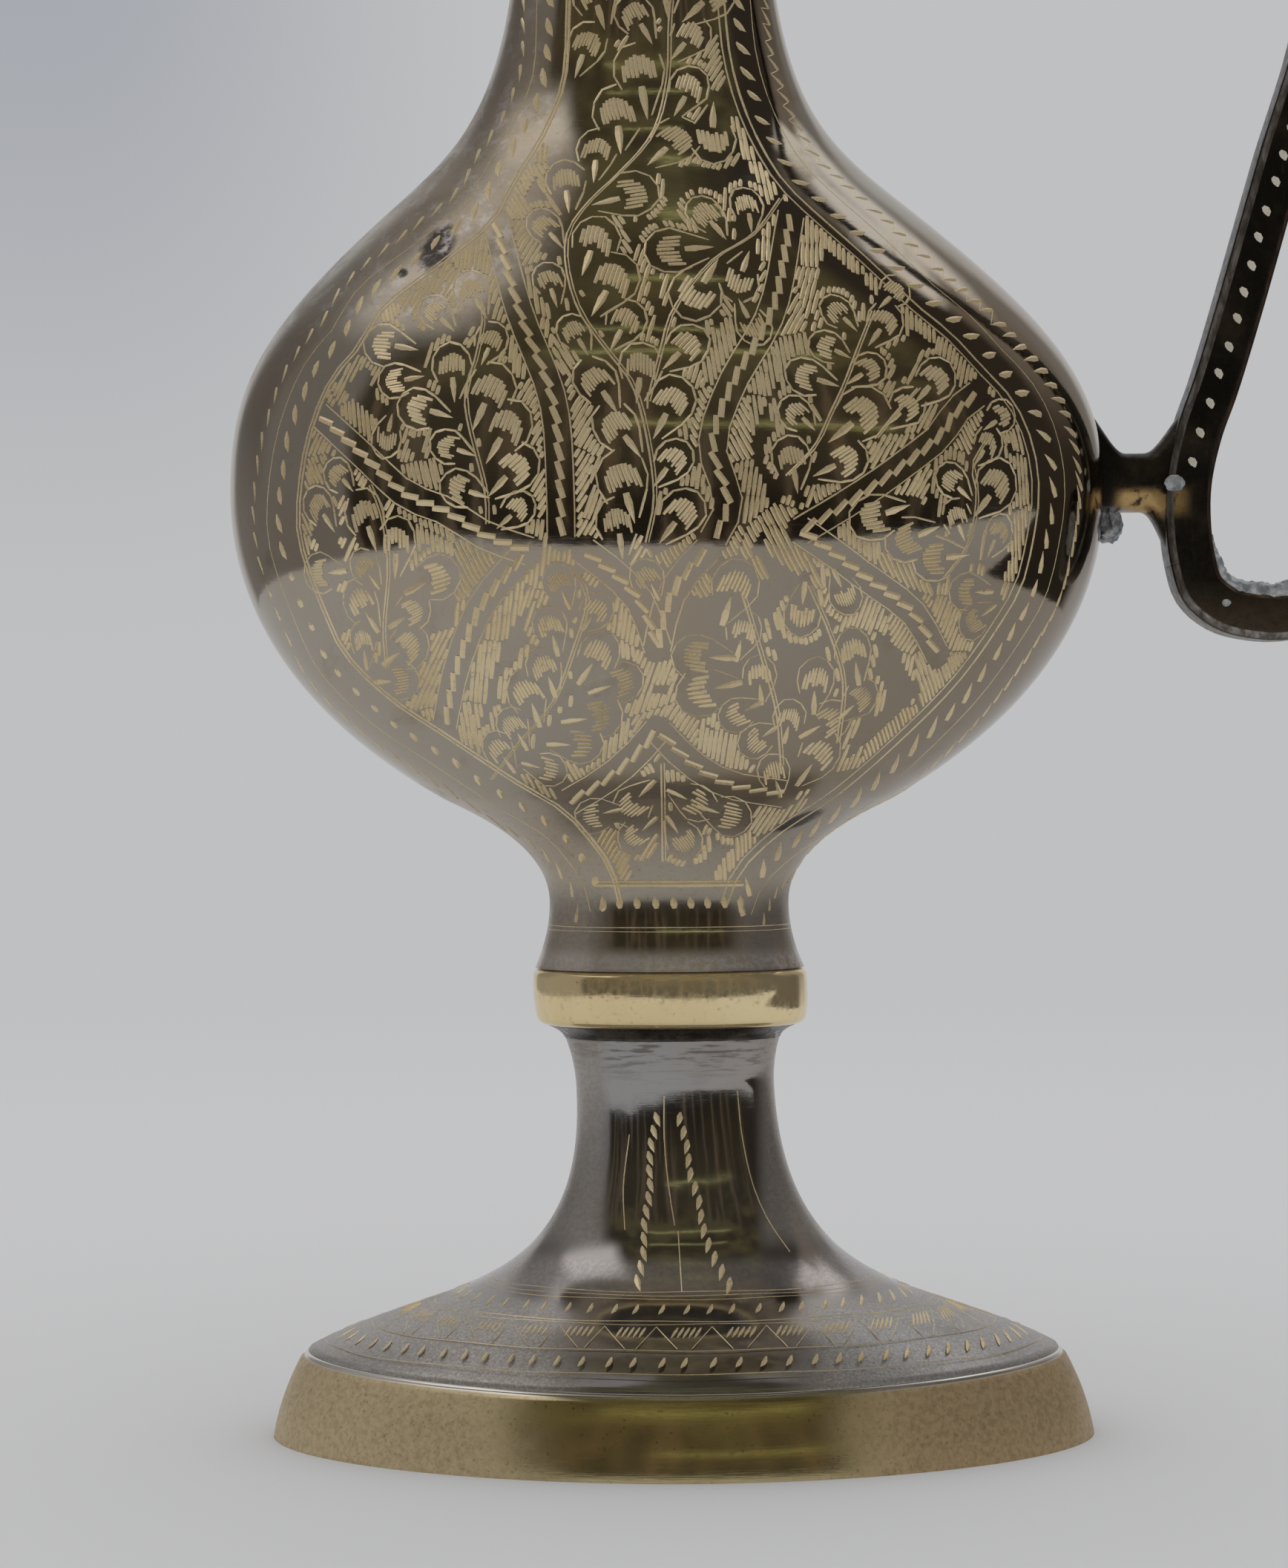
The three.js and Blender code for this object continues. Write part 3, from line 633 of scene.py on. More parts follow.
def make_camera():
    data = bpy.data.cameras.new("camera")
    data.sensor_width = SENSOR
    data.sensor_fit = "AUTO"
    data.lens = SENSOR * FOCAL_PX / max(IMAGE_WIDTH, IMAGE_HEIGHT)
    data.clip_start = 0.01
    data.clip_end = 20
    camera = bpy.data.objects.new("camera", data)
    camera.location = Vector((FOOT_X - CAMERA_LEFT_OF_FOOT, -CAMERA_DISTANCE, CAMERA_HEIGHT)) * MM
    camera.rotation_euler = (math.radians(90), math.radians(CAMERA_ROLL), 0)
    bpy.context.scene.collection.objects.link(camera)
    bpy.context.scene.camera = camera


# Materials

def metal(name, build, metallic=1.0):
    """A metal from a finish, which gives its colour, roughness, relief, its depth in mm and metallic."""
    material, g = new_material(name)
    place = g.scaled(g.field("ShaderNodeTexCoord", "Object"), *(1 / MM,) * 3)
    colour, roughness, height, distance, *own_metallic = build(g, place)
    bump = g.field("ShaderNodeBump", 0, {"Height": height, "Distance": distance * MM, "Strength": 1.0})
    shader = g.field("ShaderNodeBsdfPrincipled", 0, {
        "Base Color": colour, "Roughness": roughness, "Normal": bump,
        "Metallic": own_metallic[0] if own_metallic else metallic})
    g.node("ShaderNodeOutputMaterial", {"Surface": shader})
    return material


PIT = (0.12, 0.1, 0.07)
SATIN_TIN = (0.46, 0.42, 0.41)
# Darker tin on the satin sides of the waist and stem: painted shade.
SHADED_FLANK_TIN = (0.3, 0.27, 0.23)
BODY_FILLET = (52.2, 54.4)
FOOT_FILLET = (17.6, 20.9)
FOOT_SATIN_TOP = 17.5
WAIST_X = FOOT_X + lean_at(57)
# Dark marks on the front: centre, half length, half width, and turn in degrees
MARKS = [
    ((-41.3, 130.2), 3.5, 2.1, 62),
    ((-45.0, 127.6), 0.8, 0.7, 0),
    ((-2.6, 68.7), 3.6, 0.75, 22),
]
MARK_BROWN = (0.06, 0.052, 0.045)


def near_mark(g, place, centre, half_long, half_wide, turn):
    """1 inside a ragged oval mark on the front, 0 away from it."""
    x, y, z = g.axes(place)
    c, s = math.cos(math.radians(turn)), math.sin(math.radians(turn))
    right, above = x - centre[0], z - centre[1]
    along = right * (c / half_long) + above * (s / half_long)
    across = right * (-s / half_wide) + above * (c / half_wide)
    ragged = along * along + across * across + g.noise(place, 1.0, 4.0, 0.7)
    return g.step(ragged, 1.5, 0.75) * g.step(y, 5, -5)


def tin_ground(g, place, stain, warm, cool, tarnish):
    """Clouds in the tin, with dark stains that painted shade spreads further to the right."""
    cloud = g.noise(place, 0.035, 5.0, 0.6)
    # Painted shade: the stains grow towards the right, so that side reads darker.
    painted_shade_to_right = g.step(g.axes(place)[0], -25, 35) * 0.07
    return g.layered(g.mix(g.step(cloud, 0.38, 0.66), warm, cool),
                     (g.step(stain + painted_shade_to_right, 0.56, 0.78, 0.0, 0.6), tarnish))


def tin_pits(g, place):
    return g.step(g.noise(place, 2.6, 3.0, 0.6), 0.66, 0.76, 0.0, 0.5), PIT


def in_fillet(g, z, fillet):
    return g.step(z, fillet[0] - 0.6, fillet[0] + 0.6) * g.step(z, fillet[1] + 0.9, fillet[1] - 0.9)


def tin_skin(g, place, stain, dull_places):
    """Roughness, relief and metallic of tin; each dull place is a mask, what it adds and what it takes."""
    scratches = g.noise(g.scaled(place, 0.25, 0.25, 7.0), 1.0, 3.0, 0.6)
    roughness = g.step(stain, 0.5, 0.85, 0.07, 0.18)
    metallic = 1.0
    for mask, rougher, less_metallic in dull_places:
        roughness = roughness + mask * rougher
        metallic = metallic - mask * less_metallic
    roughness = roughness + g.step(scratches, 0.55, 0.8, 0.0, 0.08)
    waves, fine = g.noise(place, 0.09, 3.0, 0.5), g.noise(place, 1.2, 3.0, 0.6)
    return roughness, waves * 0.6 + fine * 0.02 + scratches * 0.006, 0.12, metallic


def body_tin(g, place):
    """Tin that is worn on one shoulder and speckled in its fillet, with painted shade low on the right and on
    its satin flanks.
    """
    x, _, z = g.axes(place)
    stain = g.noise(place, 0.13, 6.0, 0.65, 0.4)
    speckle = g.noise(place, 1.9, 4.0, 0.7)
    worn = g.step(x, -22, -38) * g.step(z, 112, 128) * g.step(stain, 0.35, 0.6, 0.5, 1.0)
    concave = in_fillet(g, z, BODY_FILLET)
    # Satin sides of the waist, their tin painted darker as shade.
    satin_shaded_flanks = g.step(abs(x - WAIST_X), 5.5, 8.5) * g.step(z, 63.0, 60.0)
    satin_shaded_flanks = satin_shaded_flanks * g.step(z, BODY_FILLET[1] - 0.9, BODY_FILLET[1] + 0.9)
    hip = g.step(z, 78, 67) * g.step(z, 58, 62)
    # Painted shade: the tin is darkened low on the right, standing in for a dimmer reflection there.
    painted_shade_lower_right = g.step(x, -45, 32, 0.12, 1.0) * g.step(z, 108, 94, 0.0, 0.8)
    colour = g.layered(
        tin_ground(g, place, stain, (0.45, 0.38, 0.29), (0.45, 0.41, 0.345), (0.25, 0.2, 0.115)),
        (painted_shade_lower_right, (0.25, 0.205, 0.155)),
        tin_pits(g, place),
        (concave * g.step(speckle, 0.42, 0.6), SATIN_TIN),
        *((near_mark(g, place, *mark), MARK_BROWN) for mark in MARKS),
        (worn * g.step(g.noise(place, 0.45, 5.0, 0.7), 0.5, 0.66), (0.62, 0.57, 0.52)),
        (worn * g.step(speckle, 0.52, 0.7, 0.0, 0.5), (0.3, 0.24, 0.18)),
        (hip * g.step(speckle, 0.55, 0.75, 0.0, 0.5), PIT),
        (satin_shaded_flanks * g.step(speckle, 0.4, 0.6, 0.35, 0.9), SHADED_FLANK_TIN))
    dull_places = ((worn, 0.3, 0.0), (concave, 0.1, 0.35), (satin_shaded_flanks, 0.2, 0.24), (hip, 0.2, 0.2))
    return colour, *tin_skin(g, place, stain, dull_places)


def foot_tin(g, place):
    """Paler tin, satin low down except in the middle, with brown streaks under the collar and painted shade
    on the stem's satin sides.
    """
    x, _, z = g.axes(place)
    stain = g.noise(place, 0.13, 6.0, 0.65, 0.4)
    speckle = g.noise(place, 1.9, 4.0, 0.7)
    grain = g.noise(place, 3.4, 2.0, 0.6)
    streak = g.noise(g.scaled(place, 0.25, 0.25, 2.2), 1.0, 4.0, 0.6)
    from_axis = abs(x - FOOT_X)
    low_down = g.step(z, FOOT_SATIN_TOP, FOOT_SATIN_TOP - 2.5) * g.step(from_axis, 8, 17, 0.1, 1.0)
    concave = in_fillet(g, z, FOOT_FILLET)
    # Satin sides of the stem, their tin painted darker as shade.
    satin_shaded_flanks = g.step(from_axis, 7.6, 9.6) * g.step(z, 20.5, 24.0)
    colour = g.layered(
        tin_ground(g, place, stain, (0.39, 0.36, 0.33), (0.39, 0.382, 0.375), (0.24, 0.215, 0.19)),
        tin_pits(g, place),
        (g.step(streak, 0.48, 0.62) * g.step(z, 39.0, 43.5, 0.0, 0.7), (0.13, 0.1, 0.07)),
        (concave * g.step(speckle, 0.42, 0.6), SATIN_TIN),
        (satin_shaded_flanks * g.step(speckle, 0.4, 0.6, 0.35, 0.9), SHADED_FLANK_TIN),
        (low_down * g.step(grain, 0.52, 0.66, 0.0, 0.6), (0.24, 0.215, 0.19)),
        (low_down * g.step(grain, 0.46, 0.34, 0.0, 0.5), (0.62, 0.6, 0.57)))
    dull_places = ((low_down, 0.27, 0.3), (concave, 0.1, 0.12), (satin_shaded_flanks, 0.2, 0.24))
    return colour, *tin_skin(g, place, stain, dull_places)


def brass_scratches(g, place):
    return g.noise(g.scaled(place, 0.3, 0.3, 6.0), 1.0, 3.0, 0.6)


def brass_finish(bright, olive, roughness_range, relief=0.03):
    def build(g, place):
        cloud = g.noise(place, 0.06, 5.0, 0.6)
        speck = g.noise(place, 1.4, 4.0, 0.7)
        colour = g.layered(g.mix(g.step(cloud, 0.35, 0.7), bright, olive),
                           (g.step(speck, 0.58, 0.75, 0.0, 0.55), (0.2, 0.13, 0.05)))
        height = speck * 0.4 + brass_scratches(g, place) * 0.3
        return colour, g.step(speck, 0.35, 0.7, *roughness_range), height, relief
    return build


def skirt_finish(g, place):
    """Polished across the front and back, dull and speckled at the two ends, silvery along its top edge."""
    x, _, z = g.axes(place)
    from_axis = x - FOOT_X
    patches = g.noise(place, 0.09, 4.0, 0.6)
    dull = g.step(abs(from_axis) + patches * 9.0, 15, 29)
    speck = g.noise(place, 1.5, 4.0, 0.7)
    specks = g.step(speck, 0.35, 0.7)
    scratches = brass_scratches(g, place)
    polished = g.mix(g.step(patches, 0.35, 0.7), (0.74, 0.62, 0.35), (0.64, 0.53, 0.28))
    matte = g.mix(specks, (0.6, 0.48, 0.3), (0.45, 0.35, 0.2))
    browner = g.mix(specks, (0.5, 0.37, 0.21), (0.36, 0.26, 0.14))
    share = from_axis * (1 / SKIRT_TOP[0])
    sunk = (1.0 - share * share) * SKIRT_DIP
    silver = g.step(z + sunk, SKIRT_TOP_Z - 0.6, SKIRT_TOP_Z - 0.35)
    dots = g.step(g.noise(place, 3.0, 2.0, 0.6), 0.62, 0.74, 0.0, 0.6)
    colour = g.layered(
        polished,
        (dull, g.mix(g.step(from_axis, -5, 30), matte, browner)),
        (dots, (0.2, 0.14, 0.07)),
        (silver, (0.8, 0.77, 0.7)))
    rough = dull * (1.0 - silver * 0.7)
    roughness = g.step(rough, 0.0, 1.0, 0.13, 0.42) + g.step(scratches, 0.5, 0.8, 0.0, 0.1)
    height = speck * rough * 0.8 + scratches * 0.12
    return colour, roughness, height, 0.03, g.step(rough, 0.0, 1.0, 1.0, 0.62)


def bronze_finish(g, place):
    """Near black, browner low down, with bare brass rubbed free under the strut."""
    x, _, z = g.axes(place)
    grain = g.noise(g.scaled(place, 3.0, 3.0, 0.35), 1.0, 3.0, 0.6)
    ragged = g.step(g.noise(place, 0.6, 4.0, 0.6), 0.36, 0.5)
    speck = g.noise(place, 1.1, 5.0, 0.7)
    beside = g.step(x, BARE_X[0] - 1, BARE_X[0] + 1) * g.step(x, BARE_X[1] + 1, BARE_X[1] - 1)
    at_height = g.step(z, BARE_Z[0] - 1, BARE_Z[0] + 1) * g.step(z, BARE_Z[1] + 0.6, BARE_Z[1] - 0.6)
    soldered = g.step(x, BARE_X[0] + 2.2, BARE_X[0] + 0.8) * g.step(z, STRUT_Z - 2.6, STRUT_Z - 3.6)
    colour = g.layered(
        g.mix(g.step(z, TAIL_BROWN_Z, TAIL_BROWN_Z - 6), (0.02, 0.017, 0.014), (0.1, 0.075, 0.05)),
        (g.step(g.noise(place, 0.12, 5.0, 0.65), 0.45, 0.75), (0.06, 0.048, 0.034)),
        (g.step(grain, 0.6, 0.8, 0.0, 0.4), (0.1, 0.078, 0.055)),
        (beside * at_height * ragged, (0.5, 0.33, 0.14)),
        (soldered * ragged, (0.3, 0.32, 0.34)))
    return colour, g.step(speck, 0.3, 0.75, 0.22, 0.45), speck, 0.06, 0.85


# Colour rubbed between a bare and a covered tone; on the pale chamfers the bare tone is a painted highlight.
def wear_and_highlight_finish(worn, covered):
    def build(g, place):
        rub = g.noise(g.scaled(place, 1.0, 1.0, 0.3), 1.0, 4.0, 0.65)
        colour = g.mix(g.step(rub, 0.35, 0.7), covered, worn)
        return colour, g.step(rub, 0.3, 0.7, 0.45, 0.28), rub, 0.05, 0.85
    return build


def stained_finish(g, place):
    """Smooth dark flux with a few grey crystals of solder to the left and right."""
    x, *_ = g.axes(place)
    lumps = g.noise(place, 0.9, 5.0, 0.7)
    aside = g.step(abs(x - (FOOT_X - STEM_LEAN)), 9.8, 12.0)
    flux = g.mix(g.step(g.noise(place, 0.3, 3.0), 0.4, 0.65), (0.035, 0.03, 0.025), (0.1, 0.085, 0.065))
    colour = g.mix(aside * g.step(lumps, 0.5, 0.58), flux, (0.42, 0.43, 0.46))
    return colour, g.step(lumps, 0.4, 0.7, 0.2, 0.45), lumps * aside, 0.2, 0.7


def solder_finish(g, place):
    lumps = g.noise(place, 0.7, 5.0, 0.65)
    colour = g.mix(g.step(lumps, 0.35, 0.7), (0.17, 0.18, 0.19), (0.55, 0.56, 0.57))
    return colour, g.step(lumps, 0.3, 0.7, 0.5, 0.25), lumps, 0.5


TINNED = metal("tinned_brass", body_tin)
PALE_TIN = metal("pale_tinned_brass", foot_tin)
BRASS = metal("bare_brass", brass_finish((0.72, 0.57, 0.3), (0.6, 0.48, 0.22), (0.16, 0.42)))
COLLAR_BRASS = metal("polished_brass", brass_finish(
    (0.88, 0.73, 0.44), (0.8, 0.64, 0.36), (0.03, 0.2), 0.006), 0.86)
SKIRT_BRASS = metal("skirt_brass", skirt_finish)
STROKE_BRASS = metal("engraved_brass", brass_finish((0.74, 0.61, 0.38), (0.6, 0.47, 0.27), (0.26, 0.42)), 0.6)
BRONZE = metal("dark_bronze", bronze_finish)
# Painted highlight: the pale colour on the chamfers that face the belly stands in for light caught there.
PAINTED_HIGHLIGHT_BRONZE = metal("painted_highlight_bronze", wear_and_highlight_finish((0.34, 0.32, 0.3), (0.1, 0.088, 0.075)))
RED_BRONZE = metal("red_bronze", wear_and_highlight_finish((0.2, 0.11, 0.06), (0.05, 0.04, 0.032)))
STAINED = metal("stained_solder", stained_finish)
SOLDER = metal("grey_solder", solder_finish, 0.6)
BRIGHT_SOLDER = metal("bright_solder", solder_finish, 0.35)
PECK_METAL = metal("peck_metal", brass_finish((0.66, 0.62, 0.52), (0.55, 0.5, 0.4), (0.3, 0.45)), 0.35)


# Pieces of the foot and collar

FINE_STEPS = 256
RING_STEPS = 192
PEDESTAL_CURVE_STEPS = 64


def dipped(grid, angles):
    """The foot's edge sinks a little at the front and back."""
    dip = SKIRT_DIP * np.abs(np.sin(angles)) ** 2
    grid = grid.copy()
    z = grid[..., 2]
    share = np.where(z < SKIRT_TOP_Z, z / SKIRT_TOP_Z, 1 - smoothstep(z, SKIRT_TOP_Z, SKIRT_TOP_Z + 5))
    grid[..., 2] -= dip[None] * np.clip(share, 0, 1)
    return grid


def make_foot():
    """The brass skirt with its rounded top edge, and the tinned wall that rises into the stem."""
    side = [st for st in skirt_stations(0, 40) if st[0] < SKIRT_TOP_Z - SKIRT_EDGE]
    edge = []
    for turn in np.radians(np.linspace(10, 80, 6)):
        inward = SKIRT_EDGE * (1 - math.cos(turn))
        edge.append(station(SKIRT_TOP_Z - SKIRT_EDGE * (1 - math.sin(turn)), SKIRT_TOP[0] - inward,
                            SKIRT_TOP[1] - inward, FOOT_POWER))
    inner = skirt_stations(SKIRT_WALL, 2)[::-1]
    band_piece("foot_skirt_band", [*side, *edge, *inner], FINE_STEPS, dipped,
               material=SKIRT_BRASS, slot="bare_brass", node="foot_skirt", sharp=60)
    wall = np.array(pedestal_stations(PEDESTAL_CURVE_STEPS))
    inner = grown(wall, -PEDESTAL_WALL)[::-1]
    for column in (1, 2):
        wall[:, column] = np.minimum(wall[:, column], SKIRT_TOP[column - 1] - SKIRT_EDGE * 0.8)
    band_piece("foot_pedestal_wall", [*wall, *inner], FINE_STEPS, dipped,
               material=PALE_TIN, slot="tinned_brass", node="foot_pedestal", sharp=60)


def rounded_ring_stations(base, height, outer, rounding, bore, power):
    stations = []
    for centre, angles in ((base + rounding, (-90, 0)), (base + height - rounding, (0, 90))):
        for angle in np.radians(np.linspace(*angles, 9)):
            inward = rounding * (1 - math.cos(angle))
            stations.append(station(centre + rounding * math.sin(angle), outer[0] - inward,
                                    outer[1] - inward, power))
    stations.append(station(base + height, *bore, power))
    stations.append(station(base, *bore, power))
    return stations


COLLAR_BARREL = 0.42
COLLAR_WIDEST = 0.62
COLLAR_ROUNDING = 0.9
BEAD_HEIGHT = 1.5
BEAD_REACH = 1.5
BEAD_SUNK = 0.6
BEAD_RIPPLES = (5, 9, 14, 23, 31)


def make_collar():
    """The polished ring, a little barrelled."""
    height = COLLAR_TOP_Z - PEDESTAL_TOP_Z
    bore = (STEM[0] - PEDESTAL_WALL, STEM[1] - PEDESTAL_WALL)
    *outer, top, bottom = rounded_ring_stations(PEDESTAL_TOP_Z, height, COLLAR, COLLAR_ROUNDING, bore,
                                                STEM_POWER)
    half = len(outer) // 2
    outer[half:half] = [station(PEDESTAL_TOP_Z + share * height, *COLLAR, STEM_POWER)
                        for share in np.linspace(0.2, 0.82, 9)]
    for made in outer:
        share = (made[0] - PEDESTAL_TOP_Z) / height
        made[1:3] -= COLLAR_BARREL * ((share - COLLAR_WIDEST) / COLLAR_WIDEST) ** 2
    band_piece("collar_ring_polished", [*outer, top, bottom], RING_STEPS,
               material=COLLAR_BRASS, slot="bare_brass", node="collar_ring", sharp=60)


def rippled(grid, angles):
    """The bead's lower edge runs unevenly round the stem."""
    rough = random.Random(7)
    phases = [(rough.uniform(0, 6.28), k) for k in BEAD_RIPPLES]
    ripple = sum(np.sin(k * angles + phase) for phase, k in phases) / len(phases)
    grid[:4, :, 2] += 0.05 * ripple[None] * np.array([1, 0.7, 0.4, 0.2])[:, None]
    return grid


def make_collar_solder():
    """The stained solder that holds the stem under the collar."""
    wall = np.array(pedestal_stations(PEDESTAL_CURVE_STEPS))
    bottom = PEDESTAL_TOP_Z - BEAD_HEIGHT
    heights = np.linspace(bottom, PEDESTAL_TOP_Z - 0.02, 8)
    reach = 0.08 + BEAD_REACH * ((heights - bottom) / BEAD_HEIGHT) ** 2.2
    stem = [(z, *(np.interp(z, wall[:, 0], wall[:, i]) for i in (1, 2))) for z in heights]
    outer = [station(z, w + out, d + out, STEM_POWER) for (z, w, d), out in zip(stem, reach)]
    inner = [station(z, w - BEAD_SUNK, d - BEAD_SUNK, STEM_POWER) for z, w, d in stem[::-1]]
    band_piece("collar_solder_bead", [*outer, *inner], FINE_STEPS, rippled,
               material=STAINED, slot="solder", node="pedestal_solder", sharp=60)


# Body

BODY_COLUMNS = 144
BODY_CURVE_STEPS = 44


def make_body():
    """The two pressed halves of the body, open at top and bottom and closed along their seams."""
    outer = np.array(body_stations(BODY_CURVE_STEPS))
    inner = grown(outer, -BODY_WALL)[::-1]
    for side, name in ((-1, "front"), (1, "back")):
        angles = np.linspace(0, math.pi, BODY_COLUMNS + 1)[::side] * side
        grid = rings([*outer, *inner], angles)
        rows, columns = grid.shape[:2]
        faces = grid_faces(rows, columns, True, False)
        for a in range(len(outer) - 1):
            seam = (a, a + 1, rows - 2 - a, rows - 1 - a)
            faces.append(tuple(row * columns for row in seam))
            faces.append(tuple(row * columns + columns - 1 for row in seam[::-1]))
        make_piece("body_" + name + "_wall", grid, faces, material=TINNED, slot="tinned_brass",
                   node="body_" + name + "_shell")


# The body's front face as a chart: distance along the section from the middle, and height

def body_profile(z):
    """Half width and half depth of the body at heights, read from its outline."""
    outline = np.array(body_stations(BODY_CURVE_STEPS))
    return np.interp(z, outline[:, 0], outline[:, 1]), np.interp(z, outline[:, 0], outline[:, 2])


def seen(pixels):
    """How far right of and above the picture's middle pixels lie, with the camera's roll taken out."""
    pixels = np.array(pixels, float)
    u, v = pixels[..., 0] - IMAGE_WIDTH / 2, IMAGE_HEIGHT / 2 - pixels[..., 1]
    c, s = math.cos(math.radians(CAMERA_ROLL)), math.sin(math.radians(CAMERA_ROLL))
    return u * c + v * s, v * c - u * s


class Chart:
    """Distances along an oval's front half at each height, and back to points."""

    def __init__(self, heights, widths, depths, powers):
        self.heights, self.widths, self.depths, self.powers = heights, widths, depths, powers
        turn = np.linspace(0, math.pi / 2, 160)[None]
        n = powers[:, None]
        x = np.sin(turn) ** (2 / n)
        y = np.cos(turn) ** (2 / n)
        step = np.hypot(np.diff(x) * widths[:, None], np.diff(y) * depths[:, None])
        run = np.concatenate([np.zeros((len(heights), 1)), np.cumsum(step, axis=1)], axis=1)
        self.reach = run[:, -1]
        self.shares = np.linspace(0, 1, 121)
        self.across = np.stack([np.interp(self.shares, r / r[-1], row) for r, row in zip(run, x)])

    def at(self, z):
        measures = (self.widths, self.depths, self.powers, self.reach)
        return tuple(np.interp(z, self.heights, measure) for measure in measures)

    def share_to_across(self, z, share):
        row = np.interp(z, self.heights, np.arange(len(self.heights)))
        low_row = np.clip(np.floor(row).astype(int), 0, len(self.heights) - 2)
        column = np.clip(share, 0, 1) * (len(self.shares) - 1)
        low_column = np.clip(np.floor(column).astype(int), 0, len(self.shares) - 2)
        u, v = row - low_row, column - low_column
        a = self.across
        return ((a[low_row, low_column] * (1 - v) + a[low_row, low_column + 1] * v) * (1 - u)
                + (a[low_row + 1, low_column] * (1 - v) + a[low_row + 1, low_column + 1] * v) * u)

    def surface(self, s, z):
        """Points and outward normals of the front face."""
        width, depth, power, reach = self.at(z)
        ratio = np.clip(self.share_to_across(z, np.abs(s) / reach), 0, 0.9999) * np.sign(s)
        deep = (1 - np.abs(ratio) ** power) ** (1 / power)
        points = np.stack([ratio * width, -deep * depth, z], axis=-1)
        ahead, behind = self.at(z + 0.2), self.at(z - 0.2)
        slope_width, slope_depth = ((ahead[i] - behind[i]) / 0.4 for i in (0, 1))
        nx = np.abs(ratio) ** (power - 1) * np.sign(ratio) / width
        ny = -deep ** (power - 1) / depth
        nz = -(np.abs(ratio) ** power * slope_width / width + deep ** power * slope_depth / depth)
        normals = np.stack([nx, ny, nz], axis=-1)
        return points, normals / np.linalg.norm(normals, axis=-1)[..., None]

    def from_pixels(self, pixels):
        """Chart places that the photograph's pixels show."""
        right, up = seen(pixels)
        y = np.full(len(pixels), -20.0)
        for _ in range(30):
            far = (CAMERA_DISTANCE + y) / FOCAL_PX
            z = np.clip(CAMERA_HEIGHT + up * far, self.heights[0], self.heights[-1])
            x = right * far - CAMERA_LEFT_OF_FOOT - lean_at(z)
            width, depth, power, reach = self.at(z)
            ratio = np.clip(x / width, -0.995, 0.995)
            y = 0.5 * y - 0.5 * depth * (1 - np.abs(ratio) ** power) ** (1 / power)
        row = np.round(np.interp(z, self.heights, np.arange(len(self.heights)))).astype(int)
        share = np.array([np.interp(abs(q), self.across[i], self.shares) for q, i in zip(ratio, row)])
        return np.stack([np.sign(ratio) * share * reach, z], axis=1)


def oval_chart(stations, count=500):
    s = np.array(stations)
    z = np.linspace(s[0, 0], s[-1, 0], count)
    return Chart(z, *(np.interp(z, s[:, 0], s[:, i]) for i in (1, 2, 3)))


# Strokes of the graver

STROKE_PROUD = 0.1
STROKE_SUNK = 0.012
RIDGE_SHIFT = 0.3
STROKE_RINGS = 4


class Strokes:
    """Short cuts laid on a chart, each a closed sliver of metal with one ridge."""

    def __init__(self, chart, seed):
        self.chart = chart
        self.random = random.Random(seed)
        self.rows = []

    def add(self, start, end, widths, bend=0.0):
        self.rows.append((*start, *end, *widths, bend))

    def line(self, points, width, piece=2.0):
        """A long thin cut, made in pieces that run into each other."""
        line = resampled(np.array(points, float), piece)
        for a, b in zip(line[:-1], line[1:]):
            over = (b - a) * 0.06
            w = width * self.random.uniform(0.85, 1.15)
            self.add(a - over, b + over, (w, w, w, w))

    def mesh(self):
        r = np.array(self.rows)
        t = np.linspace(0, 1, STROKE_RINGS)[None]
        s = r[:, 0:1] * (1 - t) + r[:, 2:3] * t
        z = r[:, 1:2] * (1 - t) + r[:, 3:4] * t
        hump = 4 * t * (1 - t) * r[:, 8:9]
        length = np.hypot(r[:, 2:3] - r[:, 0:1], r[:, 3:4] - r[:, 1:2]) + 1e-9
        s = s - (r[:, 3:4] - r[:, 1:2]) / length * hump
        z = z + (r[:, 2:3] - r[:, 0:1]) / length * hump
        points, normals = self.chart.surface(s, z)
        along = np.gradient(points, axis=1)
        side = np.cross(normals, along)
        side /= np.linalg.norm(side, axis=-1)[..., None]
        half = r[:, 4:8, None] / 2
        proud = np.minimum(STROKE_PROUD, half * 0.35 + 0.008)
        left = points + side * half - normals * STROKE_SUNK
        right = points - side * half - normals * STROKE_SUNK
        ridge = points + side * half * RIDGE_SHIFT + normals * proud
        rings_of = np.stack([left, ridge, right], axis=2)
        size = STROKE_RINGS * 3
        end = size - 3
        pattern = [*grid_faces(STROKE_RINGS, 3, False, True), (2, 1, 0), (end, end + 1, end + 2)]
        faces = [tuple(n * size + v for v in face) for n in range(len(r)) for face in pattern]
        return rings_of.reshape(-1, 3), faces


def engraved(name, strokes, material):
    """Cuts on the front, and the same cuts mirrored on the back."""
    points, faces = strokes.mesh()
    back = points * np.array([1, -1, 1]), [face[::-1] for face in faces]
    for side, shape in (("front", (points, faces)), ("back", back)):
        make_piece(name.format(side), *shape, material=material, slot="bare_brass", sharp=10)


# The pattern of the belly, with guides in pixels of the photograph

PANEL_LEFT = [
    (768, 0), (761, 112), (733, 183), (696, 242), (665, 298), (590, 360), (514, 420), (485, 468),
    (449, 512), (422, 575), (409, 633), (404, 711), (415, 759), (438, 820), (465, 877), (528, 940),
    (592, 983), (640, 1015), (701, 1055), (762, 1092), (799, 1132), (826, 1172), (838, 1215),
]
PANEL_RIGHT = [
    (967, 0), (974, 70), (988, 129), (1013, 191), (1047, 247), (1080, 281), (1160, 352), (1232, 420),
    (1276, 456), (1318, 501), (1355, 541), (1377, 583), (1389, 630), (1391, 673), (1383, 729), (1369, 785),
    (1341, 835), (1284, 914), (1194, 1004), (1120, 1067), (1041, 1120), (990, 1172), (972, 1215),
]
PANEL_BOTTOM_ROW = 1188
MIDDLE_COLUMN = 893
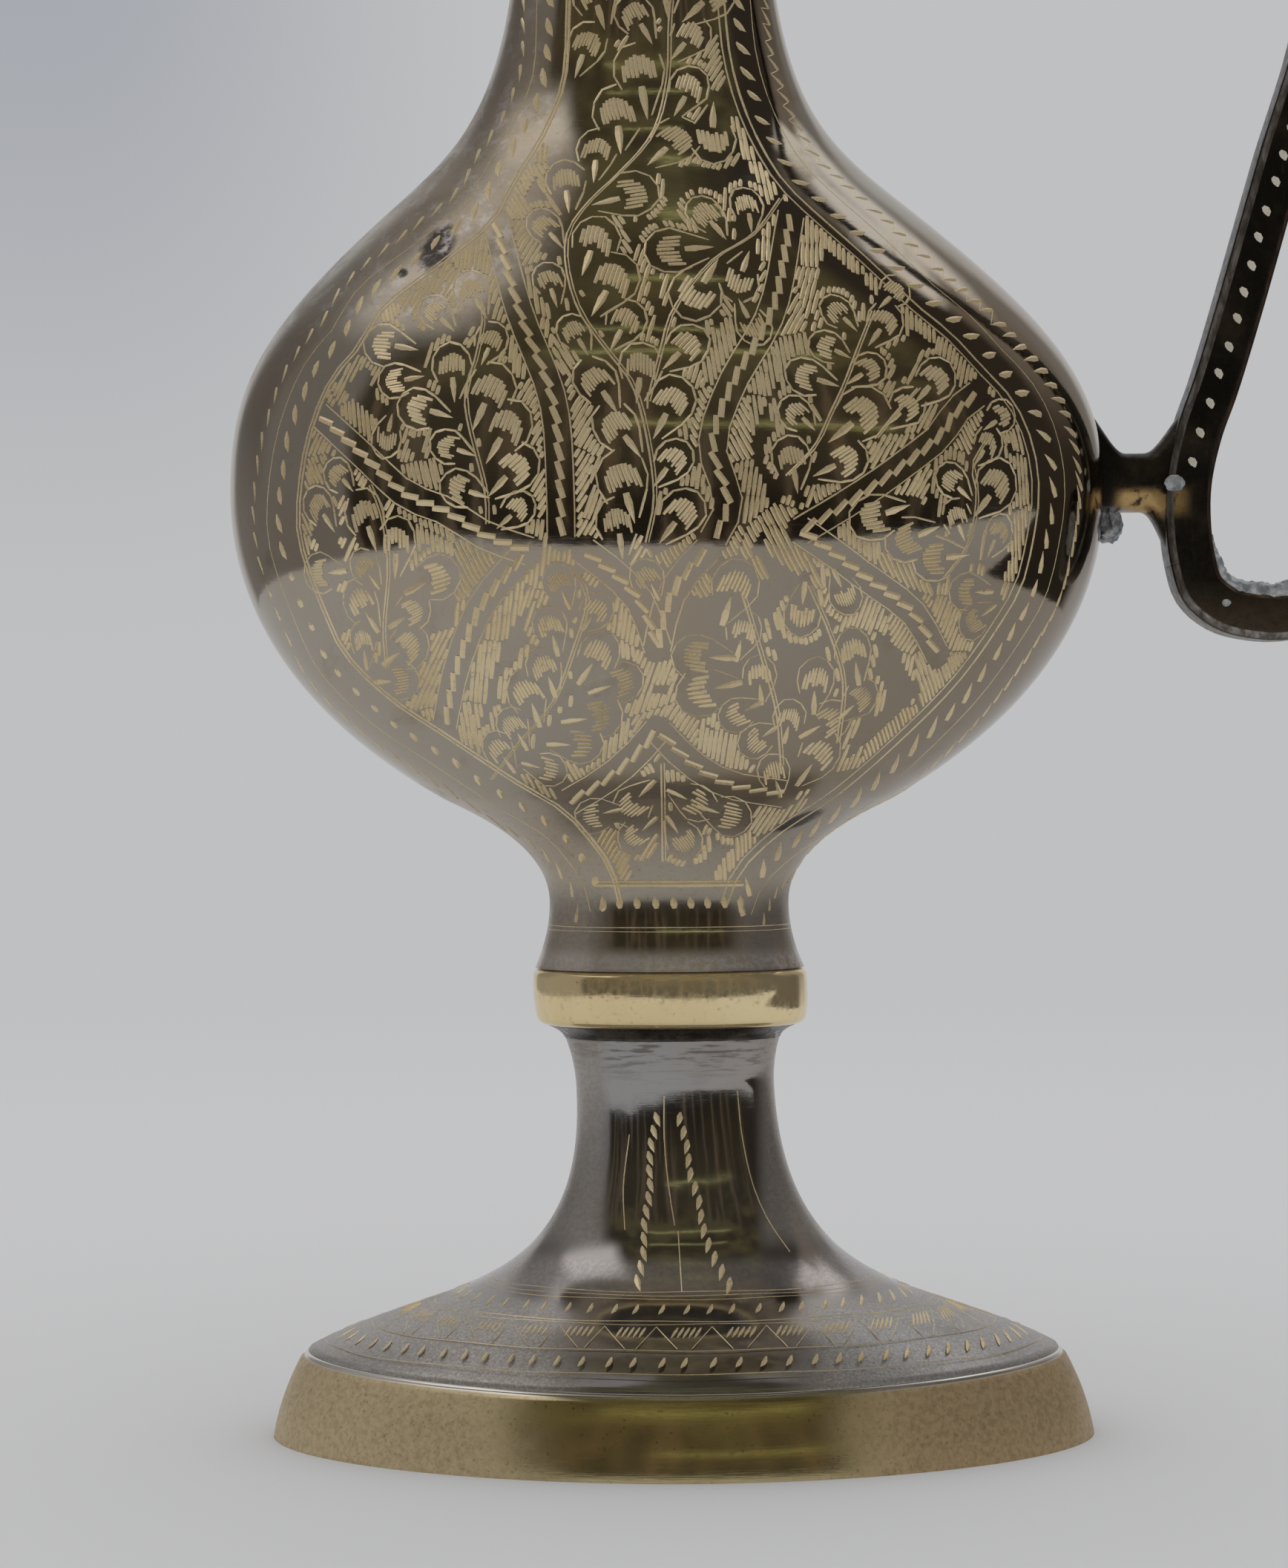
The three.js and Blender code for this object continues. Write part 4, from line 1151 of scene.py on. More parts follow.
RIBBONS = {
    "left_upright": [(668, 300), (700, 420), (745, 540), (755, 660), (756, 722)],
    "right_upright": [(1066, 290), (1040, 420), (985, 520), (960, 600), (982, 680), (962, 724)],
    "left_slanting": [(432, 561), (495, 619), (548, 667), (602, 689), (653, 721), (712, 742)],
    "right_slanting": [
        (1316, 532), (1288, 555), (1268, 586), (1223, 622), (1192, 645), (1142, 678), (1080, 715),
    ],
    "right_falling": [(1080, 715), (1128, 748), (1170, 780), (1208, 806), (1236, 832), (1262, 880)],
    "left_falling": [(706, 748), (676, 780), (648, 816), (628, 862), (612, 912), (600, 975)],
    "middle_left": [(790, 744), (832, 776), (864, 812), (886, 872)],
    "middle_right": [(952, 742), (920, 776), (900, 812), (886, 872)],
    "foot_left": [(884, 986), (852, 1022), (812, 1054), (768, 1080)],
    "foot_right": [(890, 988), (928, 1026), (978, 1056), (1056, 1070)],
}
STEMS = [
    [
        (907, -30), (901, 28), (898, 107), (878, 180), (825, 241), (797, 267), (766, 309), (761, 345),
        (778, 415), (820, 476), (848, 512), (865, 560), (881, 672), (870, 730),
    ],
    [(1050, 268), (1018, 312), (992, 330), (962, 348), (905, 420), (890, 470), (872, 540)],
    [(655, 705), (654, 668), (626, 534), (641, 480), (650, 420), (640, 395)],
    [(1060, 640), (1098, 600), (1117, 560), (1136, 520), (1156, 468), (1175, 420)],
    [(1180, 590), (1205, 558), (1236, 524)],
    [(1270, 780), (1303, 735), (1316, 664), (1310, 628), (1330, 590)],
    [(520, 900), (516, 850), (522, 760), (512, 690), (498, 655)],
    [(662, 1050), (700, 1000), (742, 950), (770, 880), (790, 800), (770, 770)],
    [(1052, 1030), (1046, 960), (1024, 880), (1000, 800)],
    [(1128, 1000), (1136, 920), (1120, 860), (1090, 790)],
    [(891, 1030), (893, 1160)],
]
# Each leaf: where its crescent lies, and where its stalk lies
LEAVES = {
    "neck": [
        (791, 59, 779, 94), (855, 20, 873, 50), (861, 94, 870, 147), (832, 152, 835, 194),
        (804, 202, 800, 235), (763, 243, 766, 276), (932, 47, 911, 73), (929, 117, 914, 147),
        (911, 188, 882, 214), (852, 261, 811, 273), (961, 188, 961, 150), (893, -22, 899, 12),
        (960, -10, 930, 20), (800, -8, 812, 28),
    ],
    "middle": [
        (733, 304, 752, 327), (740, 377, 749, 405), (773, 447, 788, 470), (803, 513, 826, 546),
        (830, 574, 856, 606), (803, 323, 788, 359), (826, 376, 805, 414), (844, 432, 827, 462),
        (864, 493, 860, 531), (905, 541, 887, 579), (927, 465, 902, 490), (908, 619, 887, 647),
        (839, 645, 852, 690), (832, 703, 837, 741), (920, 690, 896, 722),
    ],
    "rosette": [
        (905, 338, 948, 334), (938, 396, 960, 360), (996, 379, 1006, 348), (955, 293, 973, 315),
        (1006, 276, 1012, 304), (949, 287, 968, 312), (1016, 440, 1000, 412),
    ],
    "left_upper": [
        (662, 458, 652, 483), (609, 493, 612, 530), (661, 526, 642, 567), (684, 574, 662, 612),
        (695, 630, 667, 660), (698, 686, 677, 706), (565, 551, 599, 559), (604, 602, 632, 612),
        (619, 658, 650, 668), (521, 592, 526, 567), (533, 513, 562, 508), (518, 465, 552, 470),
        (635, 391, 650, 420), (586, 420, 606, 440),
    ],
    "right_upper": [
        (1128, 420, 1148, 440), (1115, 467, 1138, 478), (1087, 507, 1120, 518), (1073, 557, 1091, 573),
        (1172, 497, 1148, 512), (1163, 557, 1128, 587), (1193, 433, 1176, 458), (1262, 510, 1240, 535),
        (1223, 547, 1200, 568), (1140, 620, 1107, 637), (1067, 617, 1073, 653), (1206, 392, 1190, 410),
    ],
    "right_side": [
        (1283, 647, 1303, 668), (1290, 697, 1297, 720), (1332, 597, 1318, 620), (1343, 653, 1320, 687),
        (1347, 717, 1335, 743), (1178, 697, 1215, 685), (1223, 727, 1256, 713), (1260, 753, 1295, 750),
        (1303, 797, 1330, 797), (1313, 837, 1335, 820), (1350, 560, 1332, 575),
    ],
    "left_side": [
        (429, 682, 446, 708), (491, 693, 504, 731), (431, 772, 458, 770), (534, 729, 532, 768),
        (491, 764, 507, 786), (589, 778, 556, 794), (485, 811, 504, 842), (556, 824, 532, 841),
        (489, 863, 493, 893), (551, 871, 524, 890), (540, 917, 513, 919), (455, 640, 470, 656),
    ],
    "lower_left": [
        (753, 784, 764, 812), (741, 843, 750, 874), (733, 899, 745, 930), (710, 933, 724, 968),
        (691, 978, 705, 1003), (672, 1010, 688, 1034), (804, 822, 790, 841), (807, 881, 786, 912),
        (838, 919, 804, 930), (807, 965, 769, 972), (783, 1003, 748, 1003), (740, 1037, 712, 1030),
    ],
    "painted_shade_lower_right": [
        (991, 788, 977, 829), (1003, 850, 994, 881), (1024, 909, 1026, 940), (1100, 916, 1097, 951),
        (1064, 968, 1059, 992), (1119, 971, 1088, 989), (1043, 1041, 1050, 1065), (1105, 1016, 1081, 1048),
        (939, 885, 979, 887), (946, 933, 987, 923), (993, 964, 1020, 950), (1019, 999, 1040, 985),
        (1081, 829, 1084, 795), (1150, 877, 1156, 912), (1140, 803, 1128, 776), (1160, 940, 1138, 962),
    ],
    "low_fan": [
        (852, 1086, 875, 1060), (939, 1082, 909, 1068), (856, 1127, 878, 1107), (922, 1133, 903, 1108),
        (984, 1100, 950, 1090), (800, 1100, 830, 1092),
    ],
    "v_middle": [
        (872, 778, 884, 800),
    ],
}
LEAF_SPACING_NORMAL = 3.3
# Lines beside the panel: how many pixels outside its edge, and their width in millimetres
LEFT_LINES = [(0, 0.34), (4, 0.3), (44, 0.16)]
RIGHT_LINES = [(0, 0.24), (9, 0.3), (44, 0.15)]
# Rows of cuts: pixels outside the edge, then pitch, length and width, turns, and kind
TURN_HEIGHTS = (BELLY_Z - 34, BELLY_Z - 24, BELLY_Z - 12, BELLY_Z - 4, BELLY_Z + 8, BELLY_Z + 30)
LEFT_DASHES = [
    (27, 2.95, 2.2, 0.85, (-46, -18, 10, 18, 24, 24), "peck"),
    (62, 2.75, 2.0, 0.55, (-26, -8, 8, 16, 20, 16), "wedge"),
]
RIGHT_DASHES = [
    (27, 2.75, 2.2, 0.85, (50, 26, 4, 18, 58, 44), "lens"),
    (63, 1.85, 1.75, 0.52, (28, 16, 6, 14, 58, 40), "rope"),
]
SIDES = [(PANEL_LEFT, -1, LEFT_LINES, LEFT_DASHES), (PANEL_RIGHT, 1, RIGHT_LINES, RIGHT_DASHES)]
ROPE_BOLDNESS = ((BELLY_Z - 30, BELLY_Z - 12, BELLY_Z + 12, BELLY_Z + 22), (0.9, 1.2, 1.6, 1.2))
LENS_ENDS_Z = BELLY_Z + 9
NECK_TOP_MARGIN = 4
NECK_LEAVES_FROM_Z = 167.5
NECK_LEAF_PITCH = 5.7
ROPE_ENDS_Z = 122
RIBBON_HALF_WIDTH = 1.45
ZIGZAG_STEP = 1.9
HATCH_SPACING = 0.52
HATCH_LONGEST = 3.2
HATCH_ROUND_LEAF = 0.95
HATCH_BESIDE_RIBBON = 2.6
HATCH_BESIDE_EDGE = 1.9
LOWER_ZONE_Z = 96
LOWER_BARE_SHARE = 0.15
NECK_BARE_SHARE = 0.5
NECK_ZONE_Z = 138
LABEL_STEP = 0.1
SHORTEST_HATCH = 8
HATCH_BOUNDS = ((-52, 52), (58, 204))
HATCH_CELL = 6.5
HATCH_ANGLES = (58, 70, 82, 95, 104, 118)
PANEL_MARGIN = 0.35


def smooth_line(points, per_span=12):
    return catmull_rom(points, per_span)


def panel_edge(pixels, chart, outward, sign):
    """A border line, moved outward in the photograph's plane and carried up to the neck's top."""
    line = smooth_line(pixels)
    places = chart.from_pixels(line + normals(line) * sign * outward)
    top = BODY_TOP_Z - NECK_TOP_MARGIN
    lift = np.array([[places[0][0], z] for z in np.linspace(top, places[0][1] + 1, 12)])
    return np.vstack([lift, places])


def level(chart, row):
    """Height and reach on a chart where a row of the photograph's pixels crosses the jug's middle."""
    z = chart.from_pixels([(MIDDLE_COLUMN, row)])[0][1]
    return z, chart.at(np.array(z))[3]


class Leaf:
    """One leaf on a chart, with its own directions along and across."""

    def __init__(self, chart_crescent, chart_stalk):
        self.centre = chart_crescent
        away = chart_crescent - chart_stalk
        distance = np.linalg.norm(away)
        self.size = float(np.clip(distance / LEAF_SPACING_NORMAL, 0.72, 1.12))
        self.axis = away / distance
        self.side = np.array([-self.axis[1], self.axis[0]])
        self.distance = distance

    def place(self, u, v):
        return self.centre + self.axis * u + self.side * v

    def local(self, points):
        d = points - self.centre
        return d @ self.axis, d @ self.side

    def covers(self, points, margin=0.0):
        u, v = self.local(points)
        k = self.size
        head = 2.55 * k + margin
        tip = 2.75 * k + margin
        tail = self.distance + 2.2 * k
        half = np.where(u > 0, head * np.sqrt(np.clip(1 - (u / tip) ** 2, 0, 1)),
                        head * (1 - 0.8 * np.clip(-u / tail, 0, 1) ** 1.1))
        return (np.abs(v) < half) & (u > -tail - margin) & (u < tip)


def draw_leaf(strokes, leaf, others, low_down):
    """A crescent of touching cuts, a wedge for its stalk, and a line round the leaf."""
    rnd = strokes.random
    k = leaf.size
    count = rnd.choice((7, 8, 8, 9))
    spread = 1.5 * k
    lean = rnd.uniform(-0.35, 0.35)
    pitch = 2 * spread / (count - 1)
    for i in range(count):
        v = spread * (2 * i / (count - 1) - 1)
        edge = abs(v / spread)
        top = 1.5 * k * math.sqrt(max(0.0, 1 - 0.8 * edge * edge)) + rnd.uniform(-0.1, 0.1)
        bottom = -0.5 * k - 0.7 * k * edge ** 1.3 + rnd.uniform(-0.3, 0.3)
        w = pitch * 1.02
        ends = (w, w * 0.5) if low_down else (w * 0.8, w * 0.95)
        strokes.add(leaf.place(bottom, v + lean * bottom * 0.5), leaf.place(top, v * 0.95 + lean * top * 0.5),
                    (ends[0], w, w, ends[1]), rnd.uniform(-0.04, 0.04))
    start, end = -leaf.distance * 0.42, -leaf.distance - 1.1 * k
    w = 0.85 * k
    widths = (0.1, w * 0.7, w, w * 0.8) if low_down else (w * 0.8, w, w * 0.65, 0.1)
    strokes.add(leaf.place(start, rnd.uniform(-0.1, 0.1)), leaf.place(end, rnd.uniform(-0.1, 0.1)), widths)
    corners = []
    for angle in np.radians(np.linspace(-128, 128, 9)):
        reach = rnd.uniform(0.96, 1.04)
        corners.append(leaf.place(2.85 * k * math.cos(angle) * reach, 2.5 * k * math.sin(angle) * reach))
    first = leaf.place(-leaf.distance - 0.6 * k, -0.9 * k * rnd.uniform(0.6, 1.0))
    corners = [first, *corners]
    for a, b in zip(corners[:-1], corners[1:]):
        middle = ((a + b) / 2)[None]
        if not any(other.covers(middle, -0.35)[0] for other in others):
            over = (b - a) * 0.05
            w = rnd.uniform(0.24, 0.34) * (0.7 if low_down else 1)
            strokes.add(a - over, b + over, (w * 0.7, w, w, w * 0.8))


def draw_ribbon(strokes, line):
    """Two thin edges and a stepped line between them."""
    line = resampled(line, 0.4)
    for side in (1, -1):
        strokes.line(line + normals(line) * side * RIBBON_HALF_WIDTH, 0.2, 2.6)
    middle = resampled(line, ZIGZAG_STEP)
    for a, b, n in zip(middle[:-1], middle[1:], normals(middle)):
        w = strokes.random.uniform(0.66, 0.78)
        strokes.add(a + n * 0.27, b - n * 0.27, (w * 0.9, w, w, w))


def dash_column(strokes, line, pitch, length, width, turns, kind):
    """A row of cuts beside the panel; the turns are their angles to the row at TURN_HEIGHTS, in degrees."""
    rnd = strokes.random
    places = resampled(line, pitch)
    chain = None
    for p, t in zip(places, tangents(places)):
        low_down = p[1] < LOWER_ZONE_Z
        turn = math.radians(np.interp(p[1], TURN_HEIGHTS, turns) + rnd.uniform(-4, 4))
        c, s = math.cos(turn), math.sin(turn)
        d = np.array([t[0] * c - t[1] * s, t[0] * s + t[1] * c])
        p = p + np.array([rnd.uniform(-0.12, 0.12), rnd.uniform(-0.15, 0.15)])
        long = length * rnd.uniform(0.88, 1.12)
        bold = np.interp(p[1], *ROPE_BOLDNESS) if kind == "rope" else 1.0
        start, end = p - d * long * bold / 2, p + d * long * bold / 2
        w = width * bold
        blunt_end = (0.08, w * 0.6, w, w * 0.85)
        if kind == "peck" and low_down:
            strokes.add(start + d * long * 0.2, end - d * long * 0.3, (0.1, w, w * 1.1, w * 0.7))
        elif kind == "peck" or kind == "lens" and p[1] > LENS_ENDS_Z:
            strokes.add(start, end, (w * 0.35, w, w * 0.95, 0.1), -0.14)
            strokes.add(start + d * 0.1, end - d * 0.1, (0.1, w * 0.45, w * 0.45, 0.1), -0.3)
        elif kind == "wedge" and not low_down:
            strokes.add(start, end, blunt_end[::-1], 0.05)
        else:
            strokes.add(start, end, blunt_end, 0.05)
        if kind == "rope" and p[1] > ROPE_ENDS_Z and chain is not None:
            strokes.add(chain, start, (0.1, 0.14, 0.14, 0.1))
        chain = end


def grid_round(s, z, centre, reach):
    """The part of a grid round a place: its slices and its points."""
    i = slice(*np.searchsorted(s, (centre[0] - reach, centre[0] + reach)))
    j = slice(*np.searchsorted(z, (centre[1] - reach, centre[1] + reach)))
    return (i, j), np.stack(np.meshgrid(s[i], z[j], indexing="ij"), axis=-1)


def free_ground(inside, s, z, leaves, lines, hugged):
    """Where hatching lies: close to a leaf, a ribbon or the edge, and clear of their own cuts."""
    free, close = inside, np.zeros(inside.shape, bool)
    for leaf in leaves:
        part, grid = grid_round(s, z, leaf.centre, 10)
        points, shape = grid.reshape(-1, 2), grid.shape[:2]
        free[part] &= ~leaf.covers(points, 0.12).reshape(shape)
        close[part] |= leaf.covers(points, HATCH_ROUND_LEAF).reshape(shape)

    def beside(line, reach):
        for p in resampled(line, 0.5):
            part, grid = grid_round(s, z, p, reach + 0.3)
            yield part, np.hypot(grid[..., 0] - p[0], grid[..., 1] - p[1])

    for line, reach in hugged:
        for part, distance in beside(line, reach):
            close[part] |= distance < reach
    free &= close
    for line, clear in lines:
        for part, distance in beside(line, clear):
            free[part] &= distance > clear
    return free


def nearest_site(s, z, sites, reach):
    """The number of the site that each place of a grid is nearest to."""
    owner = np.zeros((len(s), len(z)), int)
    best = np.full(owner.shape, 1e9)
    for n, site in enumerate(sites):
        part, grid = grid_round(s, z, site, reach)
        d = (grid[..., 0] - site[0]) ** 2 + (grid[..., 1] - site[1]) ** 2
        closer = d < best[part]
        best[part][closer] = d[closer]
        owner[part][closer] = n
    return owner


def hatch_cut(strokes, base, direction, start, end):
    """One straight cut, broken where it would get too long."""
    rnd = strokes.random
    while end - start > 0.35:
        stop = min(end, start + HATCH_LONGEST * rnd.uniform(0.7, 1.0))
        if end - stop < 0.8:
            stop = end
        w = HATCH_SPACING * rnd.uniform(0.92, 1.12)
        strokes.add(base + direction * start, base + direction * stop, (w * 0.8, w, w, w * 0.7),
                    rnd.uniform(-0.03, 0.03))
        start = stop + 0.03


def hatch_ground(strokes, free, s, z):
    """Fills free ground with cells of short parallel cuts, each cell in a direction of its own."""
    rnd = strokes.random
    (s0, s1), (z0, z1) = HATCH_BOUNDS
    cell = HATCH_CELL
    cells = [
        (rnd.uniform(-0.35, 0.35) * cell + i * cell, rnd.uniform(-0.35, 0.35) * cell + j * cell,
         math.radians(rnd.choice(HATCH_ANGLES)))
        for i in range(int(s0 / cell) - 1, int(s1 / cell) + 2)
        for j in range(int(z0 / cell) - 1, int(z1 / cell) + 2)
    ]
    owner = nearest_site(s, z, [site for *site, _ in cells], 2 * cell)
    along = np.arange(-1.4 * cell, 1.4 * cell, LABEL_STEP)
    for n, (cs, cz, angle) in enumerate(cells):
        bare_share = LOWER_BARE_SHARE if cz < LOWER_ZONE_Z else NECK_BARE_SHARE if cz > NECK_ZONE_Z else 0
        if rnd.random() < bare_share:
            continue
        d = np.array([math.cos(angle), math.sin(angle)])
        across = np.array([-d[1], d[0]])
        for offset in np.arange(-1.4 * cell, 1.4 * cell, HATCH_SPACING):
            offset += rnd.uniform(-0.05, 0.05)
            base = np.array([cs, cz]) + across * offset
            p = base + d * along[:, None]
            i = np.clip(((p[:, 0] - s0) / LABEL_STEP).astype(int), 0, len(s) - 1)
            j = np.clip(((p[:, 1] - z0) / LABEL_STEP).astype(int), 0, len(z) - 1)
            hit = free[i, j] & (owner[i, j] == n)
            edges = np.flatnonzero(np.diff(np.concatenate([[0], hit.astype(int), [0]])))
            for a, b in zip(edges[::2], edges[1::2]):
                if b - a >= SHORTEST_HATCH:
                    hatch_cut(strokes, base, d, along[a], along[b - 1])


def panel_leaves(chart, top):
    """The leaves that the photograph shows, and pairs of them on up the neck."""
    leaves = []
    for group in LEAVES.values():
        for *crescent, stalk_x, stalk_y in group:
            leaves.append(Leaf(*chart.from_pixels([crescent, (stalk_x, stalk_y)])))
    z = NECK_LEAVES_FROM_Z
    while z < top - 4:
        for side, out, rise in ((1, 3.0, 0.0), (-1, 3.3, 2.6)):
            stalk = np.array([side * 0.9, z + rise - 2.4])
            leaves.append(Leaf(np.array([side * out, z + rise + 0.6]), stalk))
        z += NECK_LEAF_PITCH
    return leaves


def belly_pattern():
    """The panel's borders, leaves, stems and ribbons, the hatching between them, and the waist's lines."""
    chart = oval_chart(body_stations(BODY_CURVE_STEPS))
    strokes = Strokes(chart, 11)
    for guide, sign, lines, _ in SIDES:
        for outward, width in lines:
            strokes.line(panel_edge(guide, chart, outward, sign), width, 2.6)
    for guide, sign, _, dashes in SIDES:
        for outward, *settings in dashes:
            dash_column(strokes, panel_edge(guide, chart, outward, sign), *settings)

    top = BODY_TOP_Z - NECK_TOP_MARGIN
    leaves = panel_leaves(chart, top)
    stems = [chart.from_pixels(smooth_line(stem)) for stem in STEMS]
    stems.append(np.array([(0.6, top - 1.5), (0.0, 185.0), (0.5, 172.0), tuple(stems[0][0])]))
    ribbons = [chart.from_pixels(smooth_line(ribbon)) for ribbon in RIBBONS.values()]
    for leaf in leaves:
        near = [o for o in leaves if o is not leaf and np.linalg.norm(o.centre - leaf.centre) < 8]
        draw_leaf(strokes, leaf, near, leaf.centre[1] < LOWER_ZONE_Z)
    for stem in stems:
        strokes.line(stem, 0.24, 1.6)
        strokes.line(stem + np.array([0.34, 0.05]), 0.18, 1.9)
    for ribbon in ribbons:
        draw_ribbon(strokes, ribbon)

    s, z = (np.arange(*bounds, LABEL_STEP) for bounds in HATCH_BOUNDS)
    edges = [panel_edge(guide, chart, 0, sign) for guide, sign, *_ in SIDES]
    left, right = (edge[np.argsort(edge[:, 1])] for edge in edges)
    after_left = s[:, None] > np.interp(z, left[:, 1], left[:, 0]) + PANEL_MARGIN
    before_right = s[:, None] < np.interp(z, right[:, 1], right[:, 0]) - PANEL_MARGIN
    inside = after_left & before_right & (z > level(chart, PANEL_BOTTOM_ROW)[0]) & (z < top - 0.4)
    lines = [(stem, 0.5) for stem in stems] + [(ribbon, RIBBON_HALF_WIDTH + 0.15) for ribbon in ribbons]
    hugged = [(ribbon, RIBBON_HALF_WIDTH + HATCH_BESIDE_RIBBON) for ribbon in ribbons]
    hugged += [(edge, HATCH_BESIDE_EDGE) for edge in edges]
    hatch_ground(strokes, free_ground(inside, s, z, leaves, lines, hugged), s, z)
    strokes.line([(left[-1][0], top), (right[-1][0], top)], 0.22, 2.0)
    waist_marks(strokes, chart)
    return strokes


def waist_marks(strokes, chart):
    """Lines and a row of pecks round the waist."""
    rnd = strokes.random
    for row, width, share in WAIST_LINES:
        z, reach = level(chart, row)
        reach *= share
        strokes.line([(-reach, z), (-reach / 2, z + rnd.uniform(-0.1, 0.1)), (0, z), (reach, z)], width, 1.8)
    z, _ = level(chart, WAIST_PECK_ROW)
    for i in range(-4, 5):
        s = (i + 0.15) * PECK_PITCH + rnd.uniform(-0.15, 0.15)
        strokes.add((s - 0.1, z + 0.75), (s + 0.05, z - 0.6), (0.15, 0.7, 0.85, 0.5))


# Marks on the stem and the foot

STEM_WEDGE_ROWS = [
    [(886, 1508), (878, 1545), (876, 1580), (877, 1600), (869, 1650), (868, 1690), (860, 1728)],
    [(915, 1508), (925, 1545), (929, 1580), (941, 1618), (946, 1652), (957, 1685), (982, 1732)],
]
STEM_LINES = [
    [(895, 1478), (895, 1530), (900, 1590), (909, 1650)],
    [(914, 1660), (919, 1740)],
    [(994, 1470), (1000, 1530), (1016, 1600), (1036, 1645), (1064, 1686)],
    [(848, 1530), (840, 1600), (842, 1656)],
]
# Rings round the foot: pixel row, then the lines' width or the dashes' pitch
FOOT_LINE_LEVELS = [
    (1741, 0.14), (1746, 0.12), (1751, 0.12), (1781, 0.16), (1785, 0.12), (1820, 0.1), (1852, 0.1),
]
FOOT_DASH_LEVELS = [(1765, 2.6), (1837, 2.75)]
FOOT_CLUSTER_LEVEL = 1796
FOOT_CLUSTER_BASE = 1818
FOOT_CLUSTER_PITCH = 5.6
PECK_PITCH = 1.95
# Lines round the waist: pixel row, width, and share of the front that they run across
WAIST_LINES = [(1188, 0.3, 0.4), (1193, 0.5, 0.42), (1250, 0.12, 0.93), (1256, 0.1, 0.93)]
WAIST_PECK_ROW = 1217


def round_the_foot(reach, pitch, jitter, rnd):
    """Places at a pitch all along a ring's front, each a little off."""
    for i in range(int(-reach / pitch), int(reach / pitch) + 1):
        yield i * pitch + rnd.uniform(-jitter, jitter)


def foot_pattern():
    """Wedges down the stem, and rings of lines, dashes and small hatched triangles round the foot."""
    chart = oval_chart(pedestal_stations(PEDESTAL_CURVE_STEPS), 900)
    strokes = Strokes(chart, 23)
    rnd = strokes.random
    for side, row in zip((-1, 1), STEM_WEDGE_ROWS):
        for p in resampled(chart.from_pixels(smooth_line(row)), 1.5):
            d = np.array([-0.28 * side, -1.0])
            strokes.add(p - d * 0.75, p + d * 0.85, (0.25, 0.75, 0.55, 0.08), 0.06 * side)
    for row in STEM_LINES:
        strokes.line(chart.from_pixels(smooth_line(row)), 0.16, 1.5)
    for row, width in FOOT_LINE_LEVELS:
        z, reach = level(chart, row)
        s = np.linspace(-reach, reach, 60)
        strokes.line(np.stack([s, z + 0.05 * np.sin(s * 0.35 + row)], axis=1), width, 2.0)
    for row, pitch in FOOT_DASH_LEVELS:
        z, reach = level(chart, row)
        for s in round_the_foot(reach, pitch, 0.2, rnd):
            strokes.add((s + 0.3, z + 0.45), (s - 0.35, z - 0.4), (0.2, 0.5, 0.5, 0.1), 0.1)
    z, reach = level(chart, FOOT_CLUSTER_LEVEL)
    base, _ = level(chart, FOOT_CLUSTER_BASE)
    for s in round_the_foot(reach, FOOT_CLUSTER_PITCH, 0.4, rnd):
        for j in range(5):
            x = s + (j - 2) * 0.62
            strokes.add((x + 0.4, z + 0.42), (x - 0.35, z - 0.45), (0.2, 0.36, 0.3, 0.08))
        tip = s + FOOT_CLUSTER_PITCH / 2
        for side in (-1, 1):
            strokes.add((tip, z + 0.5), (tip + side * 2.2, base), (0.12, 0.14, 0.14, 0.1))
    return strokes


def make_engraving():
    engraved("{}_engraving", belly_pattern(), STROKE_BRASS)
    engraved("{}_foot_engraving", foot_pattern(), STROKE_BRASS)


# Neck ring, mouth and rim

def make_mouth():
    """The neck's ring, the flared mouth and the band on its rim."""
    bore = (NECK[0] - BODY_WALL, NECK[1] - BODY_WALL)
    outer = (NECK[0] + NECK_RING_PROUD, NECK[1] + NECK_RING_PROUD)
    band_piece("neck_ring_turned",
               rounded_ring_stations(BODY_TOP_Z, MOUTH_BASE_Z - BODY_TOP_Z, outer, 1.2, bore, BODY_POWER),
               RING_STEPS, material=COLLAR_BRASS, slot="bare_brass", node="neck_ring", sharp=60)
    wall = np.array(mouth_stations(48))
    inner = grown(wall, -MOUTH_WALL)[::-1]
    band_piece("mouth_funnel_wall", [*wall, *inner], FINE_STEPS, material=TINNED,
               slot="tinned_brass", node="mouth_funnel")
    lip = wall[-1]
    slope = (wall[-1][1] - wall[-6][1]) / (wall[-1][0] - wall[-6][0])
    inside = -MOUTH_WALL * math.hypot(1, slope) - 0.3

    def lip_station(rise, offset):
        made = lip.copy()
        made[0] += 0.3 + rise
        made[1] += offset
        made[2] += offset
        return made

    turns = np.radians(np.linspace(-90, 90, 13))
    outside = [lip_station(RIM_HEIGHT / 2 * (1 + math.sin(a)), RIM_PROUD * math.cos(a)) for a in turns]
    back = [lip_station(RIM_HEIGHT, inside / 2), lip_station(RIM_HEIGHT * 0.7, inside),
            lip_station(0, inside)]
    band_piece("rim_band_brass", outside + back, FINE_STEPS, material=COLLAR_BRASS,
               slot="bare_brass", node="rim_band", sharp=50)


# Handle

PECK_SIDE = -0.15
PECK_STEP = 3.35
RIDGE_PART = (0.16, 0.93)
RIDGE_HALF = (1.5, 2.7)
SPOT_PIXEL = (1583, 651)
SPECK_PIXEL = (1653, 812)


class StrapChart:
    """The flat front face of the strap: distance across it and run along its line."""

    def __init__(self, line):
        self.run = np.concatenate([[0], np.cumsum(np.linalg.norm(np.diff(line, axis=0), axis=1))])
        self.line, self.out = line, normals(line)

    def surface(self, across, run):
        x, z = (np.interp(run, self.run, self.line[:, i]) + across * np.interp(run, self.run, self.out[:, i])
                for i in (0, 1))
        points = np.stack([x, np.full(x.shape, -STRAP[1] / 2), z], axis=-1)
        return points, np.tile(np.array([0.0, -1.0, 0.0]), (*x.shape, 1))


